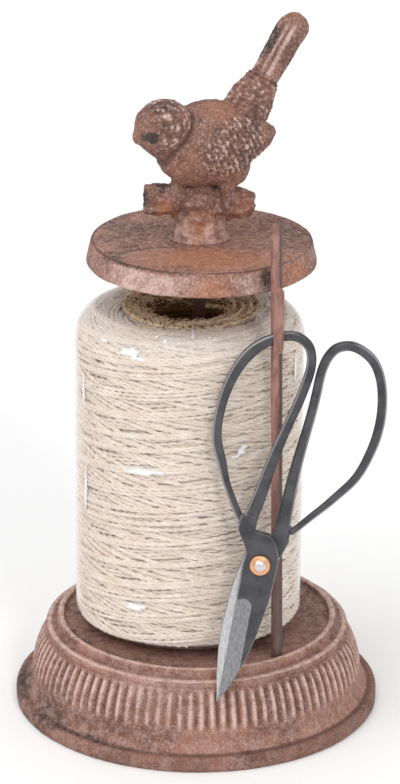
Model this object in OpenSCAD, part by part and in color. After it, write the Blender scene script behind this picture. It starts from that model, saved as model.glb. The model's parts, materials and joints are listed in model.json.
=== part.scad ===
// Twine stand: a cast base with a spindle, a wrapped spool of twine on it, a cap disc with a bird
// on top, and a pair of loop-handled scissors that hangs on a hook beside the spool.
// Millimetres, +Z up, origin on the table under the middle of the base, front towards -Y.

/* [Base casting] */
// Radius of the base's rim
base_r = 73; // [70:0.5:80]
// Height of the rim
rim_h = 6; // [4:0.5:8]
// Rounding of the rim's upper edge
rim_round = 1.6; // [0.5:0.1:2.5]
// Width of the hollow moulding between the rim and the fluted band
cove_w = 6.6; // [5:0.2:9]
// Height of the hollow moulding
cove_h = 7; // [5:0.5:9]
// How far the fluted band swells out past a straight slope
band_bulge = 1.4; // [0.6:0.1:2.4]
// Height of the plate inside the ridge
plate_z = 35; // [32:0.5:42]
// Radius of the ridge round the plate
ridge_r = 55.4; // [54:0.2:57]
// Radius of the ridge's round bead
ridge_bead = 1.8; // [1.2:0.1:2.2]
// Radius of the lower bead under the ridge
lower_bead = 2; // [1.2:0.1:2.4]
// Wall of the hollow casting
wall = 4.5; // [3.5:0.1:5.5]
// Radius of the raised seat under the spool
seat_r = 22; // [18:0.5:26]
// Height of the seat over the plate
seat_h = 4; // [3:0.5:8]
// Number of flutes round the band
flute_count = 96; // [60:1:100]
// Half the width of the cutter that makes a flute
flute_r = 1.5; // [1:0.1:1.8]
// Depth of a flute at its middle
flute_depth = 0.8; // [0.4:0.1:1]

/* [Spindle] */
// Radius of the spindle
spindle_r = 2.5; // [2:0.1:3.5]
// Radius across the corners of the spindle's nuts
nut_r = 4.6; // [4:0.1:6.5]
// Height of a nut
nut_h = 4; // [3:0.2:6]
// Radius of the spindle's washers
washer_r = 6; // [5:0.5:9]
// Thickness of a washer
washer_t = 1; // [0.6:0.1:1.6]
// Height of the long nut that joins the spindle and the stud under the cap
joint_nut_h = 8; // [6:0.5:10]
// Length of stud that the bird screws on to
thread_len = 10; // [8:0.5:11]
// Length of spindle below its foot nut
spindle_tail = 2; // [1:0.5:5]

/* [Spool] */
// Radius of the wrapped spool
spool_r = 46; // [40:0.5:48]
// Height of the spool
spool_h = 130; // [90:1:135]
// Radius of the hole through the twine
core_hole_r = 14; // [11:0.5:18]
// How far the loose spool stands to the left of the spindle
spool_shift = 3.5; // [0:0.5:4]
// Rounding of the spool's upper edge
spool_top_round = 12; // [9:0.5:14]
// Height of the plain band below the winding
spool_foot = 6; // [4:0.5:10]
// Rounding of the spool's lower edge
spool_foot_round = 3; // [1.5:0.5:3.5]
// Thickness of the clear film round the spool
film_t = 0.25; // [0.15:0.05:0.4]
// Radius of the opening that the film leaves in the top
film_mouth_r = 27; // [22:0.5:30]
// Turns of twine in the outer layer
turns = 24; // [16:1:24]
// Gap between neighbouring turns
turn_gap = 0.7; // [0.5:0.05:1.2]

/* [Cap] */
// Radius of the cap disc
cap_r = 45; // [38:0.5:46]
// Thickness of the cap disc
cap_t = 9.4; // [6:0.2:11]
// Rounding of the disc's edge
cap_round = 1.8; // [0.8:0.1:2.4]
// Room between the top of the spool and the cap
cap_room = 18.2; // [12:0.2:30]

/* [Bird] */
// Heading of the bird, turned from the left towards the front
bird_heading = 35; // [0:1:60]
// Height of the stump under the log
stump_h = 10.6; // [10:0.2:16]
// Radius of the stump at the disc
stump_r = 12; // [10:0.2:15]
// Radius of the log
log_r = 5.6; // [5:0.2:7]
// Length of the log
log_len = 43; // [34:0.5:50]
// How far the log is turned, its left end towards the front
log_turn = 6; // [0:1:20]
// How far the log's left end is raised
log_tilt = 4; // [0:0.5:8]
// Half the length of the body
body_l = 21; // [19:0.5:23]
// Half the width of the body
body_w = 15; // [13:0.5:17]
// Half the height of the body
body_h = 15.6; // [15:0.2:19]
// Half the length of the head
head_l = 11.5; // [9:0.5:12]
// Half the width and height of the head
head_w = 10.5; // [8:0.5:11]
// Length of the beak in front of the head
beak_len = 3; // [3:0.5:7]
// Half the length of a wing
wing_l = 18; // [16:0.5:21]
// Half the height of a wing
wing_h = 10; // [8:0.5:12.5]
// Length of the tail from the collar to its tip
tail_len = 31; // [20:0.5:34]
// Width of the tail
tail_w = 16; // [12:0.5:18]
// Thickness of the tail
tail_t = 5.5; // [4:0.5:7]

/* [Hook] */
// Radius of the hook's rods
hook_r = 2; // [1.6:0.1:2.4]
// Place of the upright to the right of the spindle
hook_x = 30.5; // [28:0.5:33]
// Place of the upright in front of the spindle
hook_y = 40.4; // [39:0.2:42]
// Height of the upright's top
hook_top = 216; // [208:1:230]
// Height of the trough that carries the scissors
hook_seat = 169.2; // [166:0.2:176]
// Height of the front prong over the trough
prong_h = 23.8; // [16:0.2:28]
// Radius across the corners of the foot nut
hook_nut_r = 4; // [3.6:0.1:4.4]
// Radius of the foot washer
hook_washer_r = 4.4; // [4:0.1:4.8]

/* [Scissors] */
// Length of the blades from the rivet to the tip
blade_len = 59.5; // [50:0.5:60]
// Half the width of the closed blades
blade_w = 7.7; // [6.5:0.1:9]
// Thickness of a blade
blade_t = 2.4; // [1.8:0.1:3]
// Thickness left at the cutting edge
edge_t = 0.5; // [0.3:0.1:0.8]
// Width of the ground bevel along the cutting edge
bevel_w = 6; // [4:0.2:6.6]
// Length of cutting edge above the bevel
bevel_gap = 7; // [4:0.5:12]
// Height of the handles over the rivet
handle_len = 91.5; // [86:0.5:98]
// Half the width over both handles
handle_w = 31.5; // [26:0.5:33]
// Radius of the handle's bar
bar_r = 1.5; // [1.2:0.1:2]
// Half the width of the shank where it leaves the blade
shank_w = 3; // [2.4:0.1:3.4]
// Half the gap between the two loops when closed
loop_gap = 0.6; // [0.4:0.1:1.5]
// How far the scissors hang turned from upright
hang_turn = 16; // [10:0.5:17]
// Radius of the rivet
rivet_r = 1.6; // [1.2:0.1:2.2]
// Radius of the rivet's washers
rivet_washer_r = 4; // [3.4:0.1:4.6]
// Thickness of the rivet's washers
rivet_washer_t = 0.9; // [0.6:0.1:1.4]
// Radius of the rivet's heads
rivet_head_r = 2.3; // [2:0.1:3]
// Height of the rivet's heads
rivet_head_h = 1; // [0.6:0.1:1.6]

/* [Hidden] */
$fn = 96;
// Clearance of a screw in its nut and of a turning part on its pin
fit = 0.05;
// Clearance of a rod in a cast hole
hole_fit = 0.15;
// Space between two bodies that rest on each other
rest = 0.05;
// Space between curved or soft bodies
clear = 0.3;
// How far a cutter runs past the faces that it cuts
over = 1;

rust = "#7d5247";
dark_steel = "#4b4d52";
jute = "#cdb79b";

// Heights, from the table up
plate_under = plate_z - wall;
seat_z = plate_z + seat_h;
spool_z = seat_z + rest;
spool_top = spool_z + spool_h;
cap_z = spool_top + cap_room;
cap_top = cap_z + cap_t;
bird_z = cap_top + rest;
log_sunk = 1;
log_z = bird_z + stump_h + log_r - log_sunk;
spindle_low = plate_under - washer_t - nut_h - spindle_tail;
joint_nut_z = cap_z - rest - washer_t - joint_nut_h;
spindle_top = joint_nut_z + joint_nut_h / 2;
stud_low = spindle_top + rest;
stud_top = cap_top + thread_len;

// Lower bead, tucked in beside the ridge and below the plate
bead_edge = [ridge_r + ridge_bead + lower_bead, plate_z - lower_bead];
bead_tuck = [0.8, -0.5];
bead_middle = bead_edge - bead_tuck;

// Fluted band: an arc from its foot to its head, swelling by band_bulge
band_step = [0.6, -0.8];
band_foot = [base_r - cove_w, rim_h + cove_h];
band_head = bead_edge + band_step;
band_chord = norm(band_head - band_foot);
band_out = [band_head.y - band_foot.y, band_foot.x - band_head.x] / band_chord;
band_arc = (pow(band_chord / 2, 2) + pow(band_bulge, 2)) / (2 * band_bulge);
band_mid = (band_foot + band_head) / 2;
band_centre = band_mid + band_out * (band_bulge - band_arc);
band_turn = atan2(band_out.y, band_out.x);
band_half = asin(band_chord / 2 / band_arc);

// Points of the base that the hanging blades must clear
function band_point(share) =
    band_centre + band_arc * [cos(band_turn + share * band_half), sin(band_turn + share * band_half)];
lean_points = concat(
    [[ridge_r + ridge_bead, plate_z + ridge_bead], [base_r, rim_h]],
    [for (i = [-4 : 4]) band_point(i / 4)]
);

// Closed polyhedron from a list of rings with equal numbers of points
module tube(rings) {
    sides = len(rings[0]);
    last = len(rings) - 1;
    walls = [
        for (i = [0 : last - 1], k = [0 : sides - 1])
            let (a = i * sides + k, b = i * sides + (k + 1) % sides)
            each [[a, b, a + sides], [b, b + sides, a + sides]]
    ];
    low_cap = [for (k = [1 : sides - 2]) [0, k + 1, k]];
    high_cap = [for (k = [1 : sides - 2]) [last * sides, last * sides + k, last * sides + k + 1]];
    polyhedron(points = [for (ring = rings) each ring], faces = concat(walls, low_cap, high_cap));
}

// Base
module base_section() {
    rim_flat = 0.6;
    rim_roof = 2;
    corner_in = 0.6;
    round_c = [base_r - rim_round, rim_h - rim_round];
    cove_foot = [base_r - rim_round - rim_flat, rim_h];
    cove_steps = 6;
    cove_sag = 1.3;
    cove_dir = band_foot - cove_foot;
    cove_in = [-cove_dir.y, -cove_dir.x] / norm(cove_dir);
    cove = [
        for (i = [1 : cove_steps - 1])
            let (u = i / cove_steps)
            cove_foot + u * cove_dir + cove_sag * 4 * u * (1 - u) * cove_in
    ];
    difference() {
        union() {
            polygon(concat(
                [[0, 0], [base_r, 0], [base_r, round_c.y], [round_c.x, rim_h], cove_foot],
                cove,
                [band_foot, band_head, [ridge_r, plate_z], [seat_r, plate_z], [seat_r, seat_z], [0, seat_z]]
            ));
            translate(round_c) circle(r = rim_round);
            intersection() {
                translate(band_centre) circle(r = band_arc);
                polygon([band_foot, band_foot + 2 * band_bulge * band_out,
                    band_head + 2 * band_bulge * band_out, band_head]);
            }
            translate([ridge_r, plate_z]) circle(r = ridge_bead);
            translate(bead_middle) circle(r = lower_bead);
        }
        // the hollow underside
        polygon([
            [-over, -over], [base_r - cove_w, -over], [base_r - cove_w, rim_h - rim_roof],
            [band_foot.x - wall, band_foot.y], [band_head.x - wall + corner_in, plate_under],
            [-over, plate_under]
        ]);
    }
}

// One flute: an arc bent tighter than the band, so that it runs out at both ends
module flute() {
    end_land = 0.5;
    spare = 1.25;
    half = band_chord / 2 - end_land;
    bend = 1 / (1 / band_arc + 2 * flute_depth / pow(half, 2));
    reach = spare * asin(half / bend);
    middle = band_mid + band_out * (band_bulge - flute_depth + flute_r);
    rotate([90, 0, 0])
        translate(middle - bend * band_out)
            rotate([0, 0, band_turn - reach])
                rotate_extrude(angle = 2 * reach) translate([bend, 0]) circle(r = flute_r, $fn = 24);
}

module base_casting() color(rust) difference() {
    rotate_extrude() base_section();
    for (i = [0 : flute_count - 1]) rotate([0, 0, i * 360 / flute_count]) flute();
    translate([0, 0, -over]) cylinder(r = spindle_r + hole_fit, h = seat_z + 2 * over);
    translate([hook_x, -hook_y, -over]) cylinder(r = hook_r + hole_fit, h = seat_z + 2 * over);
}

// Spindle and its nuts
module nut(radius, bore, height) difference() {
    cylinder(r = radius, h = height, $fn = 6);
    translate([0, 0, -over]) cylinder(r = bore, h = height + 2 * over);
}

module washer(radius, bore, height) difference() {
    cylinder(r = radius, h = height);
    translate([0, 0, -over]) cylinder(r = bore, h = height + 2 * over);
}

module spindle() color(rust)
    translate([0, 0, spindle_low]) cylinder(r = spindle_r, h = spindle_top - spindle_low);

module spindle_foot_washer() color("silver")
    translate([0, 0, plate_under - washer_t]) washer(washer_r, spindle_r + hole_fit, washer_t);

module spindle_foot_nut() color("silver")
    translate([0, 0, plate_under - washer_t - nut_h]) nut(nut_r, spindle_r + fit, nut_h);

module spindle_lock_nut() color("silver")
    translate([0, 0, seat_z]) nut(nut_r, spindle_r + fit, nut_h);

module cap_nut() color("silver")
    translate([0, 0, joint_nut_z]) nut(nut_r, spindle_r + fit, joint_nut_h);

module finial_stud() color("silver")
    translate([0, 0, stud_low]) cylinder(r = spindle_r, h = stud_top - stud_low);

module cap_washer() color("silver")
    translate([0, 0, cap_z - rest - washer_t]) washer(washer_r, spindle_r + hole_fit, washer_t);

// Cap disc with both edges rounded
module cap_disc() color(rust) translate([0, 0, cap_z]) difference() {
    rotate_extrude() union() {
        square([cap_r - cap_round, cap_t]);
        translate([0, cap_round]) square([cap_r, cap_t - 2 * cap_round]);
        for (z = [cap_round, cap_t - cap_round]) translate([cap_r - cap_round, z]) circle(r = cap_round);
    }
    translate([0, 0, -over]) cylinder(r = spindle_r + hole_fit, h = cap_t + 2 * over);
}

// Egg lying along X, fuller towards its front (-X) where fullness is over 1, with a tiny flat at each pole
module egg(l, w, h, fullness = 1, rings = 12, sides = 16) {
    pole = 0.004;
    tube([
        for (i = [0 : rings])
            let (u = pole + (1 - 2 * pole) * (1 - cos(180 * i / rings)) / 2,
                v = pow(u, 1 / fullness), girth = 2 * sqrt(v * (1 - v)))
            [for (k = [0 : sides - 1])
                let (a = -360 * k / sides)
                [l * (2 * u - 1), w * girth * cos(a), h * girth * sin(a)]]
    ]);
}

// The bird's own frame: the middle of the body at the origin, beak towards -X
module bird_shape() {
    body_pitch = 6;
    head_in = 2.2;
    head_side = -0.3;
    head_drop = 5.6;
    beak_in = 2.5;
    beak_droop = 10;
    beak_root = 4.8;
    beak_tip = 2;
    wing_t = 4.4;
    wing_in = 3.6;
    wing_back = 14.5;
    wing_up = 1.9;
    wing_roll = 10;
    wing_pitch = 8;
    wing_splay = 4;
    tail_slope = 53;
    tail_fore = 4;
    tail_drop = 7.5;
    tail_in = 4;
    rump_len = 15.5;
    rump_swell = 1;
    collar_in = 1.4;
    tail_top = rump_len + tail_len;
    rotate([0, -body_pitch, 0]) egg(body_l, body_w, body_h, 1.15, 14, 20);
    translate([head_in - body_l, -head_side, body_h - head_drop]) {
        egg(head_l, head_w, head_w, 1.1);
        translate([beak_in - head_l, 0, -beak_in]) rotate([0, -90 - beak_droop, 0])
            cylinder(r1 = beak_root, r2 = beak_tip, h = beak_len + beak_in, $fn = 24);
    }
    for (side = [-1, 1])
        translate([body_l - wing_back, side * (body_w - wing_in), wing_up])
            rotate([side * wing_roll, -wing_pitch, side * wing_splay])
                egg(wing_l, wing_t, wing_h, 1.3, 10, 12);
    translate([body_l - tail_fore, 0, body_h - tail_drop]) rotate([0, 90 - tail_slope, 0]) {
        translate([0, 0, -tail_in]) cylinder(
            r1 = tail_w / 2 + rump_swell, r2 = tail_w / 2 - collar_in, h = rump_len + tail_in, $fn = 32
        );
        rotate([90, 0, 90]) linear_extrude(height = tail_t, center = true) {
            translate([-tail_w / 2, 0]) square([tail_w, tail_top - tail_w / 2]);
            translate([0, tail_top - tail_w / 2]) circle(r = tail_w / 2);
        }
    }
}

module bird_finial() color(rust) {
    sunk = 1.2;
    perch_h = 3.5;
    perch_top = log_z + log_r + perch_h;
    body_up = perch_top - log_z + body_h - sunk;
    bird_x = 2;
    stump_taper = 3.4;
    bore_room = 1.5;
    difference() {
        union() {
            translate([0, 0, bird_z])
                cylinder(r1 = stump_r, r2 = stump_r - stump_taper, h = perch_top - bird_z);
            translate([0, 0, log_z]) rotate([0, 90 + log_tilt, log_turn])
                cylinder(r = log_r, h = log_len, center = true);
            translate([bird_x, 0, log_z + body_up]) rotate([0, 0, bird_heading]) bird_shape();
        }
        translate([0, 0, bird_z - over]) cylinder(r = spindle_r + fit, h = thread_len + bore_room + over);
    }
}

// Twine: the turns climb the side and follow the upper rounding for a share of its radius
shoulder_share = 1.1;
spare_turns = 0.9;
wound_length = spool_h - spool_foot - spool_top_round + spool_top_round * shoulder_share;
strand_pitch = wound_length / (turns + spare_turns);
strand_r = (strand_pitch - turn_gap) / 2;
film_inner = spool_r - film_t;
winding_r = film_inner - clear - strand_r;
// the turns are drawn with straight steps, which cut in a little towards the core
rings_a_turn = 24;
step_sag = winding_r * (1 - cos(180 / rings_a_turn));
core_room = clear + step_sag;
core_r = winding_r - strand_r - core_room;
shoulder_r = spool_top_round - film_t - clear - strand_r;
wind_low = spool_z + spool_foot + clear + strand_r;
shoulder_z = spool_top - spool_top_round;

// Middle of the strand after a length of winding, measured along the spool's outline: [radius, height, lean]
function wound_at(length) =
    let (turned = max(0, length - (shoulder_z - wind_low)) / shoulder_r * 180 / PI)
    [winding_r - shoulder_r * (1 - cos(turned)),
        min(shoulder_z, wind_low + length) + shoulder_r * sin(turned), turned];

wound = [for (i = [0 : turns * rings_a_turn]) wound_at(strand_pitch * i / rings_a_turn)];
function wound_point(i) =
    let (a = 360 * i / rings_a_turn) [wound[i][0] * cos(a), wound[i][0] * sin(a), wound[i][1]];
function strand_ring(at, a, lean) = [
    for (k = [0 : 5])
        let (out = strand_r * cos(60 * k), up = strand_r * sin(60 * k),
            r = out * cos(lean) - up * sin(lean))
        at + [r * cos(a), r * sin(a), out * sin(lean) + up * cos(lean)]
];
wound_last = turns * rings_a_turn;
// a straight end, one strand long, leaves each end of the winding
lead_in = wound_point(0) - 2 * strand_r * [0, 1, 0];
lead_out = wound_point(wound_last) + 2 * strand_r * [0, 1, 0];
winding_rings = concat(
    [strand_ring(lead_in, 0, 0)],
    [for (i = [0 : wound_last]) strand_ring(wound_point(i), 360 * i / rings_a_turn, wound[i][2])],
    [strand_ring(lead_out, 360 * turns, wound[wound_last][2])]
);
least_gap = min([
    for (i = [0 : wound_last], j = [i + rings_a_turn - 3 : min(wound_last, i + rings_a_turn + 3)])
        norm(wound_point(i) - wound_point(j)) - 2 * strand_r
]);
echo(winding_least_gap_mm = least_gap);

module twine_core() color(jute) translate([-spool_shift, 0, 0]) difference() {
    foot_r = film_inner - clear;
    top_round = max(1, shoulder_r - strand_r - core_room);
    translate([0, 0, spool_z]) rotate_extrude() union() {
        square([foot_r - spool_foot_round, spool_foot]);
        translate([0, spool_foot_round]) square([foot_r, spool_foot - spool_foot_round]);
        translate([foot_r - spool_foot_round, spool_foot_round]) circle(r = spool_foot_round);
        square([core_r, shoulder_z - spool_z]);
        square([core_r - top_round, shoulder_z - spool_z + top_round]);
        translate([core_r - top_round, shoulder_z - spool_z]) circle(r = top_round);
    }
    cylinder(r = core_hole_r, h = 2 * spool_top);
}

module twine_winding() color(jute) translate([-spool_shift, 0, 0]) tube(winding_rings);

// Half of the film's section, from the axis out
module film_section(radius, round_top, low) {
    square([radius, shoulder_z - low]);
    square([radius - round_top, shoulder_z - low + round_top]);
    translate([radius - round_top, shoulder_z - low]) circle(r = round_top);
}

module film_wrap() color("white", 0.4) translate([-spool_shift, 0, 0]) difference() {
    low = spool_z + spool_foot_round;
    translate([0, 0, low]) rotate_extrude() film_section(spool_r, spool_top_round, low);
    translate([0, 0, low - over]) rotate_extrude()
        film_section(film_inner, spool_top_round - film_t, low - over);
    cylinder(r = film_mouth_r, h = 2 * spool_top);
}

// Hook: a straight upright, and a prong bent up in front of it
bar_room = 0.8;
prong_gap = 2 * bar_r + 2 * bar_room;
prong_y = hook_y + 2 * hook_r + prong_gap;
bend_r = prong_gap / 2 + hook_r;
bend_z = hook_seat - hook_r + bend_r;
prong_top = hook_seat + prong_h;

module upright_rod(extra = 0) translate([hook_x, -hook_y, 0]) {
    foot_tail = 1;
    low = plate_under - washer_t - nut_h - foot_tail;
    translate([0, 0, low]) cylinder(r = hook_r + extra, h = hook_top - hook_r - low);
    translate([0, 0, hook_top - hook_r]) sphere(r = hook_r + extra);
}

module hook_upright() color(rust) upright_rod();

module hook_prong() color(rust) difference() {
    weld_gap = 0.01;
    translate([hook_x, -prong_y, 0]) {
        translate([0, 0, bend_z]) cylinder(r = hook_r, h = prong_top - hook_r - bend_z);
        translate([0, 0, prong_top - hook_r]) sphere(r = hook_r);
        translate([0, bend_r, bend_z]) rotate([0, 90, 0]) rotate([0, 0, -90])
            rotate_extrude(angle = 90) translate([bend_r, 0]) circle(r = hook_r, $fn = 48);
        translate([0, bend_r, hook_seat - hook_r]) rotate([-90, 0, 0])
            cylinder(r = hook_r, h = prong_y - hook_y - bend_r);
    }
    upright_rod(weld_gap);
}

module hook_foot_washer() color("silver") translate([hook_x, -hook_y, plate_under - washer_t])
    washer(hook_washer_r, hook_r + hole_fit, washer_t);

module hook_foot_nut() color("silver") translate([hook_x, -hook_y, plate_under - washer_t - nut_h])
    nut(hook_nut_r, hook_r + fit, nut_h);

// Scissors, drawn closed and flat: X to the right, Y towards the handles, Z towards the front,
// the rivet at the origin. The rear half is the front half turned over.
mid_gap = rest;
bar_in = bar_r + loop_gap;

// Middle line of the right-hand loop, as shares of the handle's width and length
loop_shape = [
    [0.165, 0.145], [0.12, 0.28], [0.085, 0.43], [0.045, 0.61], [0.01, 0.78], [0, 0.87],
    [0.04, 0.935], [0.14, 0.98], [0.34, 1], [0.6, 0.975], [0.78, 0.92], [0.91, 0.835],
    [0.985, 0.728], [1, 0.61], [0.93, 0.478], [0.71, 0.36], [0.49, 0.262], [0.3, 0.175]
];
hang_index = 9;
loop_points = [
    for (p = loop_shape) [bar_in + p.x * (handle_w - bar_r - bar_in), p.y * (handle_len - bar_r)]
];
loop_last = len(loop_points) - 1;
loop_steps = 4;

// Smooth curve through the points
function loop_knot(i) = loop_points[max(0, min(loop_last, i))];
function loop_at(i, u) =
    let (a = loop_knot(i - 1), b = loop_knot(i), c = loop_knot(i + 1), d = loop_knot(i + 2))
    0.5 * (2 * b + (c - a) * u + (2 * a - 5 * b + 4 * c - d) * u * u + (3 * b - a - 3 * c + d) * u * u * u);
loop_line = concat(
    [for (i = [0 : loop_last - 1], s = [0 : loop_steps - 1]) loop_at(i, s / loop_steps)],
    [loop_points[loop_last]]
);

// The bar starts flat at the shank, turns round, and thins towards its free end
module handle_loop() {
    count = len(loop_line) - 1;
    flat = blade_t / 2 + mid_gap;
    root_steps = 3 * loop_steps;
    thin_steps = 5 * loop_steps;
    thinning = 0.25;
    tube([
        for (i = [0 : count])
            let (ahead = loop_line[min(count, i + 1)] - loop_line[max(0, i - 1)],
                side = [ahead.y, -ahead.x] / norm(ahead),
                root = max(0, 1 - i / root_steps),
                thin = 1 - thinning * max(0, i - count + thin_steps) / thin_steps,
                half_w = (bar_r + root * (shank_w - bar_r)) * thin,
                half_t = (bar_r + root * (blade_t / 2 - bar_r)) * thin)
            [for (k = [0 : 7])
                let (a = 45 * k + 22.5)
                [loop_line[i].x + half_w * cos(a) * side.x, loop_line[i].y + half_w * cos(a) * side.y,
                    root * flat + half_t * sin(a)]]
    ]);
}

// Outline of one blade with its shoulder, handle to the left and cutting edge to the left
tip = [0, -blade_len];
edge_top = [-blade_w * 0.72, -blade_len * 0.14];
shoulder_y = blade_w * 1.58;
shank_x = loop_points[0].x;
shank_y = loop_points[0].y + shank_w * 1.5;

module blade_outline() {
    neck = blade_w * 0.84;
    back = [
        [blade_w * 0.45, -blade_len * 0.8], [blade_w * 0.75, -blade_len * 0.63],
        [blade_w * 0.92, -blade_len * 0.45], [blade_w, -blade_len * 0.2], [blade_w * 0.92, -blade_w * 0.4]
    ];
    shoulder = [
        [neck, blade_w * 0.5], [neck * 0.77, shoulder_y * 0.82], [shank_w, shoulder_y],
        [-shank_w * 1.13, shoulder_y]
    ];
    shank = [
        [-shank_w * 1.27, shank_y], [-shank_x - shank_w, shank_y],
        [-shank_x - shank_w * 1.13, shoulder_y * 0.93]
    ];
    heel = [[-neck * 1.3, shoulder_y * 0.59], [-neck, blade_w * 0.4], [-neck, -blade_w * 0.26]];
    polygon(concat([tip], back, shoulder, shank, heel, [edge_top]));
}

// Slab that grinds the bevel along the cutting edge, with a round upper end
module grinding_slab() {
    edge = tip - edge_top;
    bevel_start = bevel_gap + bevel_w / 2;
    corner = bevel_w * 0.4;
    slab_h = bevel_w;
    slope = atan((blade_t - edge_t) / bevel_w);
    translate([edge_top.x, edge_top.y, mid_gap + edge_t])
        rotate([0, 0, atan2(edge.y, edge.x)]) rotate([slope, 0, 0]) linear_extrude(height = slab_h) {
            translate([bevel_start, -over]) square([norm(edge), bevel_w + slab_h]);
            translate([bevel_start, bevel_w / 2]) circle(r = bevel_w / 2);
            translate([bevel_start - corner, -over]) square([bevel_w, bevel_w / 2]);
        }
}

module scissor_half(bore) difference() {
    union() {
        translate([0, 0, mid_gap]) linear_extrude(height = blade_t) blade_outline();
        mirror([1, 0, 0]) handle_loop();
    }
    grinding_slab();
    translate([0, 0, -over]) cylinder(r = bore, h = mid_gap + blade_t + 2 * over);
}

// Place on the hook: the front half's loop hangs in the trough and the blades lean over the base
hang_point = loop_points[hang_index];
hang_across = -hang_point.x * cos(hang_turn) + hang_point.y * sin(hang_turn);
hang_up = hang_point.x * sin(hang_turn) + hang_point.y * cos(hang_turn);
slant_room = 0.6;
hang_z = hook_seat + bar_r + slant_room;
hang_y = hook_y + hook_r + prong_gap / 2;
hang_reach = hang_up + blade_len * cos(hang_turn);
tip_z = hang_z - hang_reach;
lean = max([
    for (p = lean_points)
        p.y < tip_z ? 0 : atan((p.x + clear + blade_t / 2 - hang_y) / (hang_z - p.y))
]);
pivot = [hook_x - hang_across, -hang_y - hang_up * sin(lean), hang_z - hang_up * cos(lean)];
echo(scissors_pivot_mm = pivot, scissors_lean_deg = lean);

module on_hook() translate(pivot) rotate([90 - lean, 0, 0]) rotate([0, 0, -hang_turn]) children();

module scissor_front_half() color(dark_steel) on_hook() scissor_half(rivet_r + fit);

module scissor_rear_half() color(dark_steel) on_hook()
    rotate([0, 180, 0]) scissor_half(rivet_r + fit);

front_face = mid_gap + blade_t;
rear_face = -front_face - rest;

module scissor_rivet() color("silver") on_hook() {
    long = front_face - rear_face + 2 * rivet_washer_t;
    crown_r = rivet_head_r * 0.7;
    translate([0, 0, rear_face - rivet_washer_t]) cylinder(r = rivet_r, h = long);
    translate([0, 0, front_face + rivet_washer_t])
        cylinder(r1 = rivet_head_r, r2 = crown_r, h = rivet_head_h);
    translate([0, 0, rear_face - rivet_washer_t - rivet_head_h])
        cylinder(r1 = crown_r, r2 = rivet_head_r, h = rivet_head_h);
}

module rivet_washer() difference() {
    rim_slope = 0.6;
    cylinder(r1 = rivet_washer_r, r2 = rivet_washer_r - rim_slope * rivet_washer_t, h = rivet_washer_t);
    translate([0, 0, -over]) cylinder(r = rivet_r + fit, h = rivet_washer_t + 2 * over);
}

module rivet_front_washer() color("#c98a5a") on_hook() translate([0, 0, front_face]) rivet_washer();

module rivet_rear_washer() color("#c98a5a") on_hook()
    translate([0, 0, rear_face]) rotate([180, 0, 0]) rivet_washer();

base_casting();
spindle();
spindle_foot_washer();
spindle_foot_nut();
spindle_lock_nut();
cap_nut();
cap_washer();
finial_stud();
cap_disc();
bird_finial();
twine_core();
twine_winding();
film_wrap();
hook_upright();
hook_prong();
hook_foot_washer();
hook_foot_nut();
scissor_front_half();
scissor_rear_half();
scissor_rivet();
rivet_front_washer();
rivet_rear_washer();
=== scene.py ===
import json
import math

import bpy
import numpy as np
import openvdb
from mathutils import Euler, Matrix, Vector, noise


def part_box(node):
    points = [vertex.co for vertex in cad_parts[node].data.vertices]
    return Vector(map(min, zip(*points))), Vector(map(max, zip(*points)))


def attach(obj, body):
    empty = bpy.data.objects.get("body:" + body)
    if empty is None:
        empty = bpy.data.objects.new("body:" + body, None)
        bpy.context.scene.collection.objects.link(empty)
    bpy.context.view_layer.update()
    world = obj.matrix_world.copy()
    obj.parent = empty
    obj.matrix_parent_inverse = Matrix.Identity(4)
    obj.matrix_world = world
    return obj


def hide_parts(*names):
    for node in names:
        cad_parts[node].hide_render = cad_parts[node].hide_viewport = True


# Twine stand: the looks of its castings, wound twine, clear film and hung scissors.
# Shapes are worked out in millimetres and become metres when their mesh is made.

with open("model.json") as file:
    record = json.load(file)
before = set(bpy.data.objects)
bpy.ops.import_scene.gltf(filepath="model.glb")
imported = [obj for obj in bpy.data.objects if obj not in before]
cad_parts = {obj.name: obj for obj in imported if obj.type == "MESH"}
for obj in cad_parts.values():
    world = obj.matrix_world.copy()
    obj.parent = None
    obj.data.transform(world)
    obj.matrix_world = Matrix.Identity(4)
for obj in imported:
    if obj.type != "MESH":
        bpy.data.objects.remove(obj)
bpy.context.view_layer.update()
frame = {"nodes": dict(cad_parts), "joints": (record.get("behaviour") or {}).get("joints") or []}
scene = bpy.context.scene
scene.view_settings.view_transform = "Standard"
mm = 0.001


def boxOf(node):
    low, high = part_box(node)
    return np.array(low) / mm, np.array(high) / mm


# Small tools for node trees
class wire:
    # an output in a node tree: sums, differences, products and quotients of it are math nodes
    def __init__(self, tree, socket):
        self.tree = tree
        self.socket = socket

    def __add__(self, other):
        return calc("ADD", self, other)

    def __sub__(self, other):
        return calc("SUBTRACT", self, other)

    def __rsub__(self, other):
        return calc("SUBTRACT", other, self)

    def __mul__(self, other):
        return calc("MULTIPLY", self, other)

    def __truediv__(self, other):
        return calc("DIVIDE", self, other)


def send(value, socket):
    # a wire is linked to the socket, a plain value is set on it
    if isinstance(value, wire):
        value.tree.links.new(value.socket, socket)
    else:
        socket.default_value = value


def addNode(tree, kind, inputs=None, **settings):
    node = tree.nodes.new(kind)
    for name, value in settings.items():
        setattr(node, name, value)
    for socket, value in (inputs or {}).items():
        send(value, node.inputs[socket])
    return node


def made(tree, kind, inputs=None, output=0, **settings):
    return wire(tree, addNode(tree, kind, inputs, **settings).outputs[output])


def treeOf(*values):
    return next(value.tree for value in values if isinstance(value, wire))


def calc(operation, *values):
    return made(treeOf(*values), "ShaderNodeMath", dict(enumerate(values)), operation=operation)


def calcVector(operation, a, b=None, scale=None):
    wanted = {0: a, 1: b, "Scale": scale}
    given = {socket: value for socket, value in wanted.items() if value is not None}
    return made(a.tree, "ShaderNodeVectorMath", given, operation=operation)


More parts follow.
